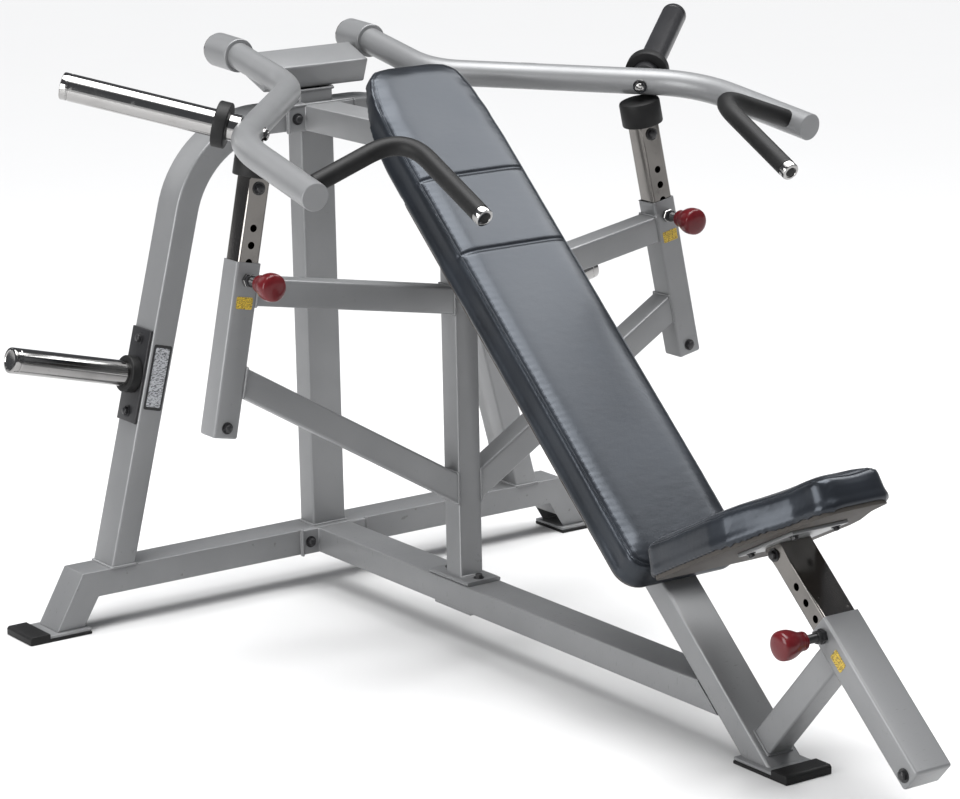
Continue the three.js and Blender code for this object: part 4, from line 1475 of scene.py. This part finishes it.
@dataclass
class Cushion:
    """An upholstered pad: swollen by a cloth run, then seamed, piped and stitched."""

    shop: Workshop
    node: str
    place: Matrix
    outline: list[Pair]
    face: float
    floor: float
    cross_seams: tuple[float, ...] = ()
    seam_inset: float = 15.0
    voxel: float = 5.5
    shrink: float = 3.0
    cap: float = 6.5
    easing: int = 26
    pressure: float = 4.0
    frames: int = 20
    stitch_pitch: float = 5.2
    stitch_length: float = 3.6
    stitch_width: float = 0.7
    stitch_lift: float = 0.2
    stitch_inset: float = 6.0
    piping_radius: float = 1.1

    def build(self) -> None:
        """Makes the pad, its piping and its stitches."""
        mesh = self._swollen()
        self._press_seams(mesh)
        smoothed(mesh, 180)
        body = self.shop.body_of[self.node]
        pad = self.shop.stand_in(self.node, mesh, Slot.VINYL)
        ring, stitched = self._inset(self.seam_inset), self._inset(self.seam_inset + self.stitch_inset)
        surface = BVHTree.FromPolygons([v.co for v in mesh.vertices], [p.vertices[:] for p in mesh.polygons])
        tube = swept(self._laid(ring, surface, 0.0), self.piping_radius * MM, 10, closed=True)
        self.shop.publish(f"{self.node}_piping", tube, body, Slot.VINYL)
        loops = [self._laid(stitched, surface, self.stitch_lift)]
        lines = [self._laid(line, surface, self.stitch_lift) for line in self._seam_lines()]
        meshes = [self.shop.beads.run(
            path_mesh(paths, closed), self.shop.palette.of(THREAD), Pitch=self.stitch_pitch * MM,
            Length=self.stitch_length * MM, Width=self.stitch_width * MM)
            for paths, closed in ((loops, True), (lines, False)) if paths]
        for label, stitches in zip(("edge", "cross"), meshes):
            self.shop.publish(f"{self.node}_{label}_stitches", stitches, body, Slot.VINYL, THREAD)

    def _swollen(self) -> bpy.types.Mesh:
        """The CAD pad drawn in a little, remeshed and blown up by a short cloth run.

        Returns:
            The pad's mesh in place.
        """
        work = merged(self.shop.cad(self.node))
        bmesh.ops.triangulate(work, faces=work.faces)
        mesh = bpy.data.meshes.new(self.node)
        work.to_mesh(mesh)
        work.free()
        piece = bpy.data.objects.new("cloth", mesh)
        bpy.context.collection.objects.link(piece)
        remesh = piece.modifiers.new("remesh", "REMESH")
        remesh.mode = "VOXEL"
        remesh.voxel_size = self.voxel * MM
        mesh = self._applied(piece)
        piece.data = mesh
        inverse = self.place.inverted()
        base = np.array([v.co for v in mesh.vertices])
        local = np.array([inverse @ v.co for v in mesh.vertices]) / MM
        normals = np.array([v.normal for v in mesh.vertices])
        upper = np.clip((local[:, 2] - self.floor - 12) / 14, 0, 1)
        start = base - normals * (upper * self.shrink * MM)[:, None]
        mesh.vertices.foreach_set("co", start.ravel())
        mesh.update()
        pinned = piece.vertex_groups.new(name="pinned")
        for index in np.nonzero(upper < 0.5)[0]:
            pinned.add([int(index)], 1.0, "REPLACE")
        self._blow(piece)
        mesh = self._applied(piece)
        moved = np.array([v.co for v in mesh.vertices]) - start
        length = np.linalg.norm(moved, axis=1, keepdims=True)
        moved *= np.minimum(1.0, self.cap * MM / np.maximum(length, 1e-9))
        moved = self._eased(mesh, moved)
        mesh.vertices.foreach_set("co", (start + moved * upper[:, None]).ravel())
        mesh.update()
        piece.data = mesh
        finer = piece.modifiers.new("finer", "SUBSURF")
        finer.levels = finer.render_levels = 1
        mesh = self._applied(piece)
        bpy.data.objects.remove(piece)
        return mesh

    def _eased(self, mesh: bpy.types.Mesh, moved: np.ndarray) -> np.ndarray:
        """The cloth's moves with their sharp creases evened out.

        Args:
            mesh: The pad's mesh, for its edges.
            moved: How far each vertex moved, in metres.

        Returns:
            Each vertex's eased move.
        """
        edges = np.array([edge.vertices[:] for edge in mesh.edges])
        degree = np.bincount(edges.ravel(), minlength=len(moved))[:, None]
        for _ in range(self.easing):
            around = np.zeros_like(moved)
            np.add.at(around, edges[:, 0], moved[edges[:, 1]])
            np.add.at(around, edges[:, 1], moved[edges[:, 0]])
            moved = (moved + around / degree) / 2
        return moved

    def _blow(self, piece: bpy.types.Object) -> None:
        """Adds the cloth to a piece and steps it to its last frame."""
        cloth = piece.modifiers.new("cloth", "CLOTH")
        settings = cloth.settings
        settings.use_pressure = True
        settings.uniform_pressure_force = self.pressure
        settings.effector_weights.gravity = 0.0
        settings.vertex_group_mass = "pinned"
        settings.quality = 5
        settings.tension_stiffness = settings.compression_stiffness = 40
        cloth.collision_settings.use_self_collision = False
        cloth.point_cache.frame_start = 1
        cloth.point_cache.frame_end = self.frames
        for frame in range(1, self.frames + 1):
            bpy.context.scene.frame_set(frame)

    def _applied(self, piece: bpy.types.Object) -> bpy.types.Mesh:
        """Applies a piece's modifiers and removes them.

        Args:
            piece: The object.

        Returns:
            Its evaluated mesh.
        """
        graph = bpy.context.evaluated_depsgraph_get()
        mesh = bpy.data.meshes.new_from_object(piece.evaluated_get(graph))
        piece.modifiers.clear()
        return mesh

    def _press_seams(self, mesh: bpy.types.Mesh) -> None:
        """Draws the face in along its seams and puckers it beside the edge seam."""
        inverse = self.place.inverted()
        local = np.array([inverse @ v.co for v in mesh.vertices]) / MM
        facing = np.clip((local[:, 2] - self.face + 26) / 12, 0, 1)
        ring = np.array(self._inset(self.seam_inset))
        ends = np.roll(ring, -1, axis=0)
        gap = np.full(len(local), 1e9)
        for a, b in zip(ring, ends):
            span = b - a
            t = np.clip(((local[:, :2] - a) @ span) / max(span @ span, 1e-9), 0, 1)
            gap = np.minimum(gap, np.linalg.norm(local[:, :2] - (a + t[:, None] * span), axis=1))
        depth = 1.6 * np.exp(-(gap / 3.4) ** 2)
        for along in self.cross_seams:
            depth = np.maximum(depth, 2.3 * np.exp(-((local[:, 1] - along) / 4.4) ** 2))
        local[:, 2] -= depth * facing
        pucker = 0.12 * np.sin(local[:, 1] * 0.42 + local[:, 0] * 0.1) * np.exp(-(gap / 16) ** 2)
        local[:, 2] += pucker * facing
        world = np.array([self.place @ (Vector(p) * MM) for p in local])
        mesh.vertices.foreach_set("co", world.ravel())
        mesh.update()

    def _inset(self, inset: float) -> list[Pair]:
        """The outline moved in.

        Args:
            inset: How far, in millimetres.

        Returns:
            The new outline.
        """
        points = [Vector(p) for p in self.outline]
        count = len(points)
        moved = []
        for k in range(count):
            tangent = points[(k + 1) % count] - points[k - 1]
            inward = Vector((-tangent.y, tangent.x)).normalized()
            moved.append(tuple(points[k] + inward * inset))
        return moved

    def _seam_lines(self) -> list[list[Pair]]:
        """A stitch row on both sides of each cross seam.

        Returns:
            One local path for each row.
        """
        lines = []
        for along in self.cross_seams:
            half = max(abs(x) for x, y in self.outline if abs(y - along) < 120) - self.seam_inset - 2
            for shift in (-4.5, 4.5):
                lines.append([(x, along + shift) for x in np.linspace(-half, half, 24)])
        return lines

    def _laid(self, path: list[Pair], surface: BVHTree, lift: float) -> list[Vector]:
        """A local path dropped on the pad's face.

        Args:
            path: Local points in millimetres.
            surface: The pad's mesh, for the drop.
            lift: How far above the face the path lies, in millimetres.

        Returns:
            The path in place, in metres.
        """
        laid = []
        down = self.place.to_3x3() @ Vector((0, 0, -1))
        for x, y in path:
            origin = self.place @ (Vector((x, y, self.face + 60)) * MM)
            hit, _, _, _ = surface.ray_cast(origin, down)
            if hit is not None:
                laid.append(hit - down * (lift * MM))
        return laid


def arc(cx: float, cy: float, radius: float, start: float, end: float, steps: int = 8) -> list[Pair]:
    """Points on an arc.

    Args:
        cx: The centre's x.
        cy: The centre's y.
        radius: Its radius.
        start: Where it starts, in quarter turns.
        end: Where it ends, in quarter turns.
        steps: The number of points.

    Returns:
        The points.
    """
    return [(cx + radius * math.cos(a * math.pi / 2), cy + radius * math.sin(a * math.pi / 2))
            for a in np.linspace(start, end, steps)]


def bezier(a: Pair, b: Pair, c: Pair, d: Pair, steps: int = 14) -> list[Pair]:
    """Points on a cubic curve, without its first point.

    Args:
        a: Where it starts.
        b: Its first handle.
        c: Its second handle.
        d: Where it ends.
        steps: The number of points.

    Returns:
        The points.
    """
    points = []
    for k in range(1, steps + 1):
        t = k / steps
        w = ((1 - t) ** 3, 3 * t * (1 - t) ** 2, 3 * t * t * (1 - t), t ** 3)
        points.append(tuple(sum(f * p[i] for f, p in zip(w, (a, b, c, d))) for i in (0, 1)))
    return points


def even(points: list[Pair], pitch: float = 9.0) -> list[Pair]:
    """A closed outline resampled to even steps.

    Args:
        points: The outline.
        pitch: The length of a step, in millimetres.

    Returns:
        The new outline.
    """
    loop = np.array(points + points[:1])
    steps = np.linalg.norm(np.diff(loop, axis=0), axis=1)
    travelled = np.concatenate(([0.0], np.cumsum(steps)))
    count = int(travelled[-1] / pitch)
    targets = np.linspace(0, travelled[-1], count, endpoint=False)
    return [(float(np.interp(t, travelled, loop[:, 0])), float(np.interp(t, travelled, loop[:, 1])))
            for t in targets]


@dataclass
class Upholstery:
    """The back pad and the seat, with the boards behind them."""

    shop: Workshop
    incline: float = 41.6
    seat_tilt: float = 26.5
    back_half: float = 131.0
    back_top: float = 336.0
    back_bottom: float = -838.0
    back_corner: float = 46.0
    taper_from: float = 130.0
    top_flat: float = 46.0
    seat_rear: float = 256.0
    seat_front: float = -183.0
    rear_half: float = 152.0
    nose_half: float = 80.0
    seat_corner: float = 40.0
    shoulder: float = 45.0
    waist: float = 56.0

    def incline_place(self) -> Matrix:
        """The back pad's frame: +Y up the slope, +Z out of its face."""
        turn = Matrix.Rotation(math.radians(self.incline), 4, "X")
        return Matrix.Translation(self.shop.at(0, -600, 872.5)) @ turn

    def seat_place(self) -> Matrix:
        """The seat's frame: +Y to its rear edge, +Z out of its top."""
        turn = Matrix.Rotation(-math.radians(self.seat_tilt), 4, "X")
        return Matrix.Translation(self.shop.at(0, -1501.5, 426)) @ turn

    def back_outline(self) -> list[Pair]:
        """The back pad's outline, counter-clockwise."""
        half, corner, low, top = self.back_half, self.back_corner, self.back_bottom, self.back_top
        right = arc(half - corner, low + corner, corner, -1, 0) + [(half, self.taper_from)]
        right += bezier((half, self.taper_from), (half, top - 50), (half - 22, top), (self.top_flat, top))
        return even(right + [(-x, y) for x, y in reversed(right)])

    def seat_outline(self) -> list[Pair]:
        """The seat's outline, counter-clockwise."""
        wide, nose, corner = self.rear_half, self.nose_half, self.seat_corner
        tip, back = self.seat_front, self.seat_rear
        right = arc(nose - corner, tip + corner, corner, -1, 0)
        right += bezier((nose, tip + corner), (nose, tip + corner + self.waist),
                        (wide, self.shoulder - self.waist), (wide, self.shoulder))
        right += arc(wide - corner, back - corner, corner, 0, 1)
        return even(right + [(-x, y) for x, y in reversed(right)])

    def build(self) -> None:
        """Makes both cushions and their boards."""
        back = Cushion(self.shop, "back_pad", self.incline_place(), self.back_outline(), 0.0, -66.0,
                       cross_seams=(50.5, -123.0))
        back.build()
        Cushion(self.shop, "seat_pad", self.seat_place(), self.seat_outline(), 67.0, 0.0).build()
        for node in ("back_board", "seat_board"):
            self.shop.round_corners(node, 1.0, Slot.BOARD, walls_only=False)


@dataclass
class SeatCarriage:
    """The sliding seat post, its pull pin, bolts and label."""

    shop: Workshop
    upholstery: Upholstery
    normal: float = 229.0
    pin: float = -1147.0

    def build(self) -> None:
        """Makes the carriage's pieces."""
        place = self.upholstery.incline_place()
        self.shop.round_corners("seat_post", 4, Slot.PLATED)
        turned = place @ Matrix.Translation(Vector((-38.1, self.pin, self.normal)) * MM)
        PullPin(self.shop, "seat", turned @ Matrix.Rotation(-math.pi / 2, 4, "Y"), Slot.STEEL).build()
        left = Vector((-1, 0, 0))
        low = place @ (Vector((-38.3, -1421, self.normal - 4)) * MM)
        self.shop.bolt_set("seat_sleeve_bolt", "frame", [(low, left)], 9, 5)
        high = place @ (Vector((-34.2, -977, self.normal - 7)) * MM)
        self.shop.bolt_set("seat_post_bolt", "seat", [(high, left)], 8.5, 5)
        spot = place @ (Vector((-38.2, -1198, self.normal)) * MM)
        tag = placement(spot, left, place.to_3x3() @ Vector((0, 1, 0)))
        mesh = slab(rounded_outline(22, 34, 3), 0, 0.5, tag)
        self.shop.publish("seat_pin_label", mesh, "frame", Slot.PAINT, YELLOW_LABEL)
        under = self.upholstery.seat_place()
        down = under.to_3x3() @ Vector((0, 0, -1))
        points = [(under @ (Vector((x, 20 + y, -6.4)) * MM), down) for x in (-45, 45) for y in (-63, 63)]
        self.shop.bolt_set("seat_bracket_bolts", "seat", points, 6, 4)


# ---------------------------------------------------------------------------
# Studio
# ---------------------------------------------------------------------------


@dataclass(frozen=True)
class Softbox:
    """A square area light that faces the machine."""

    name: str
    place: Triple
    size: float
    power: float


@dataclass
class Studio:
    """Floor, soft lights and the camera."""

    azimuth: float = -34.66
    elevation: float = 14.07
    roll: float = 1.1
    target: Triple = (0.0, 0.37435, 0.5)
    distance: float = 6.6751
    offset: Pair = (0.06542, -0.06424)
    lens: float = 132.79
    shift: Pair = (-0.0144, 0.01584)
    sky_strength: float = 4.5
    sky_angle: float = 50.0
    surround_strength: float = 0.15
    floor_half: float = 40.0
    boxes: tuple[Softbox, ...] = (
        Softbox("key", (-4.2, -0.3, 1.7), 2.4, 135), Softbox("fill", (3.8, -3.6, 2.4), 3.0, 3),
        Softbox("sheen", (2.1, 0.1, 3.2), 1.6, 52), Softbox("overhead", (-0.2, 0.1, 3.1), 2.2, 32),
        Softbox("rear", (-1.5, 4.6, 2.8), 2.4, 14))

    def build(self) -> None:
        """Makes the floor, lights, background and camera."""
        self._floor()
        self._lights()
        self._camera()

    def _floor(self) -> None:
        """A wide pale floor with a faint mottle."""
        half = self.floor_half
        corners = [(-half, -half, 0), (half, -half, 0), (half, half, 0), (-half, half, 0)]
        mesh = mesh_of(corners, [(0, 1, 2, 3)])
        floor = bpy.data.objects.new("floor", mesh)
        bpy.context.collection.objects.link(floor)
        shader = Shader("pale_floor")
        mottle = shader.noise(3, 4)
        colour = shader.blend(mottle * 0.5, (0.62, 0.62, 0.62), (0.6, 0.6, 0.603))
        mesh.materials.append(shader.feed(Base_Color=colour, Roughness=mottle * 0.1 + 0.6))

    def _lights(self) -> None:
        """The softboxes, a wide soft sky and an even background."""
        aim = Vector(self.target)
        for box in self.boxes:
            light = bpy.data.lights.new(box.name, "AREA")
            light.size = box.size
            light.energy = box.power
            lamp = bpy.data.objects.new(box.name, light)
            lamp.location = box.place
            lamp.rotation_euler = (aim - Vector(box.place)).to_track_quat("-Z", "Y").to_euler()
            bpy.context.collection.objects.link(lamp)
        sky = bpy.data.lights.new("sky", "SUN")
        sky.energy = self.sky_strength
        sky.angle = math.radians(self.sky_angle)
        bpy.context.collection.objects.link(bpy.data.objects.new("sky", sky))
        world = bpy.data.worlds.new("studio")
        world.use_nodes = True
        nodes, links = world.node_tree.nodes, world.node_tree.links
        backdrop = nodes["Background"]
        backdrop.inputs["Color"].default_value = (0.97, 0.97, 0.98, 1)
        backdrop.inputs["Strength"].default_value = 1.0
        surroundings = nodes.new("ShaderNodeBackground")
        surroundings.inputs["Color"].default_value = (0.9, 0.93, 1.0, 1)
        surroundings.inputs["Strength"].default_value = self.surround_strength
        seen = nodes.new("ShaderNodeLightPath").outputs["Is Camera Ray"]
        choice = nodes.new("ShaderNodeMixShader")
        links.new(seen, choice.inputs[0])
        links.new(surroundings.outputs[0], choice.inputs[1])
        links.new(backdrop.outputs[0], choice.inputs[2])
        links.new(choice.outputs[0], nodes["World Output"].inputs["Surface"])
        bpy.context.scene.world = world
        bpy.context.scene.view_settings.view_transform = "Standard"

    def _camera(self) -> None:
        """The camera at its angle, with a small roll and shift."""
        az, el, roll = (math.radians(a) for a in (self.azimuth, self.elevation, self.roll))
        back = Vector((math.sin(az) * math.cos(el), -math.cos(az) * math.cos(el), math.sin(el)))
        right = Vector((math.cos(az), math.sin(az), 0))
        up = back.cross(right)
        place = Vector(self.target) + back * self.distance + right * self.offset[0] + up * self.offset[1]
        turned_right = right * math.cos(roll) - up * math.sin(roll)
        turned_up = right * math.sin(roll) + up * math.cos(roll)
        data = bpy.data.cameras.new("camera")
        data.lens = self.lens
        data.sensor_width = 36.0
        data.shift_x, data.shift_y = self.shift
        data.clip_end = 200
        camera = bpy.data.objects.new("camera", data)
        rotation = Matrix((turned_right, turned_up, back)).transposed()
        camera.matrix_world = Matrix.Translation(place) @ rotation.to_4x4()
        bpy.context.collection.objects.link(camera)
        bpy.context.scene.camera = camera


def main() -> None:
    """Builds the machine and the studio."""
    logging.basicConfig(level=logging.INFO, format="%(message)s")
    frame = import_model()
    shop = Workshop(frame)
    Studio().build()
    WeldedFrame(shop).build()
    for side in Side:
        StorageHorn(shop, side).build()
        ArmStop(shop, side).build()
        LeverArm(shop, side).build()
    upholstery = Upholstery(shop)
    SeatCarriage(shop, upholstery).build()
    upholstery.build()


if __name__ == "__main__":
    main()
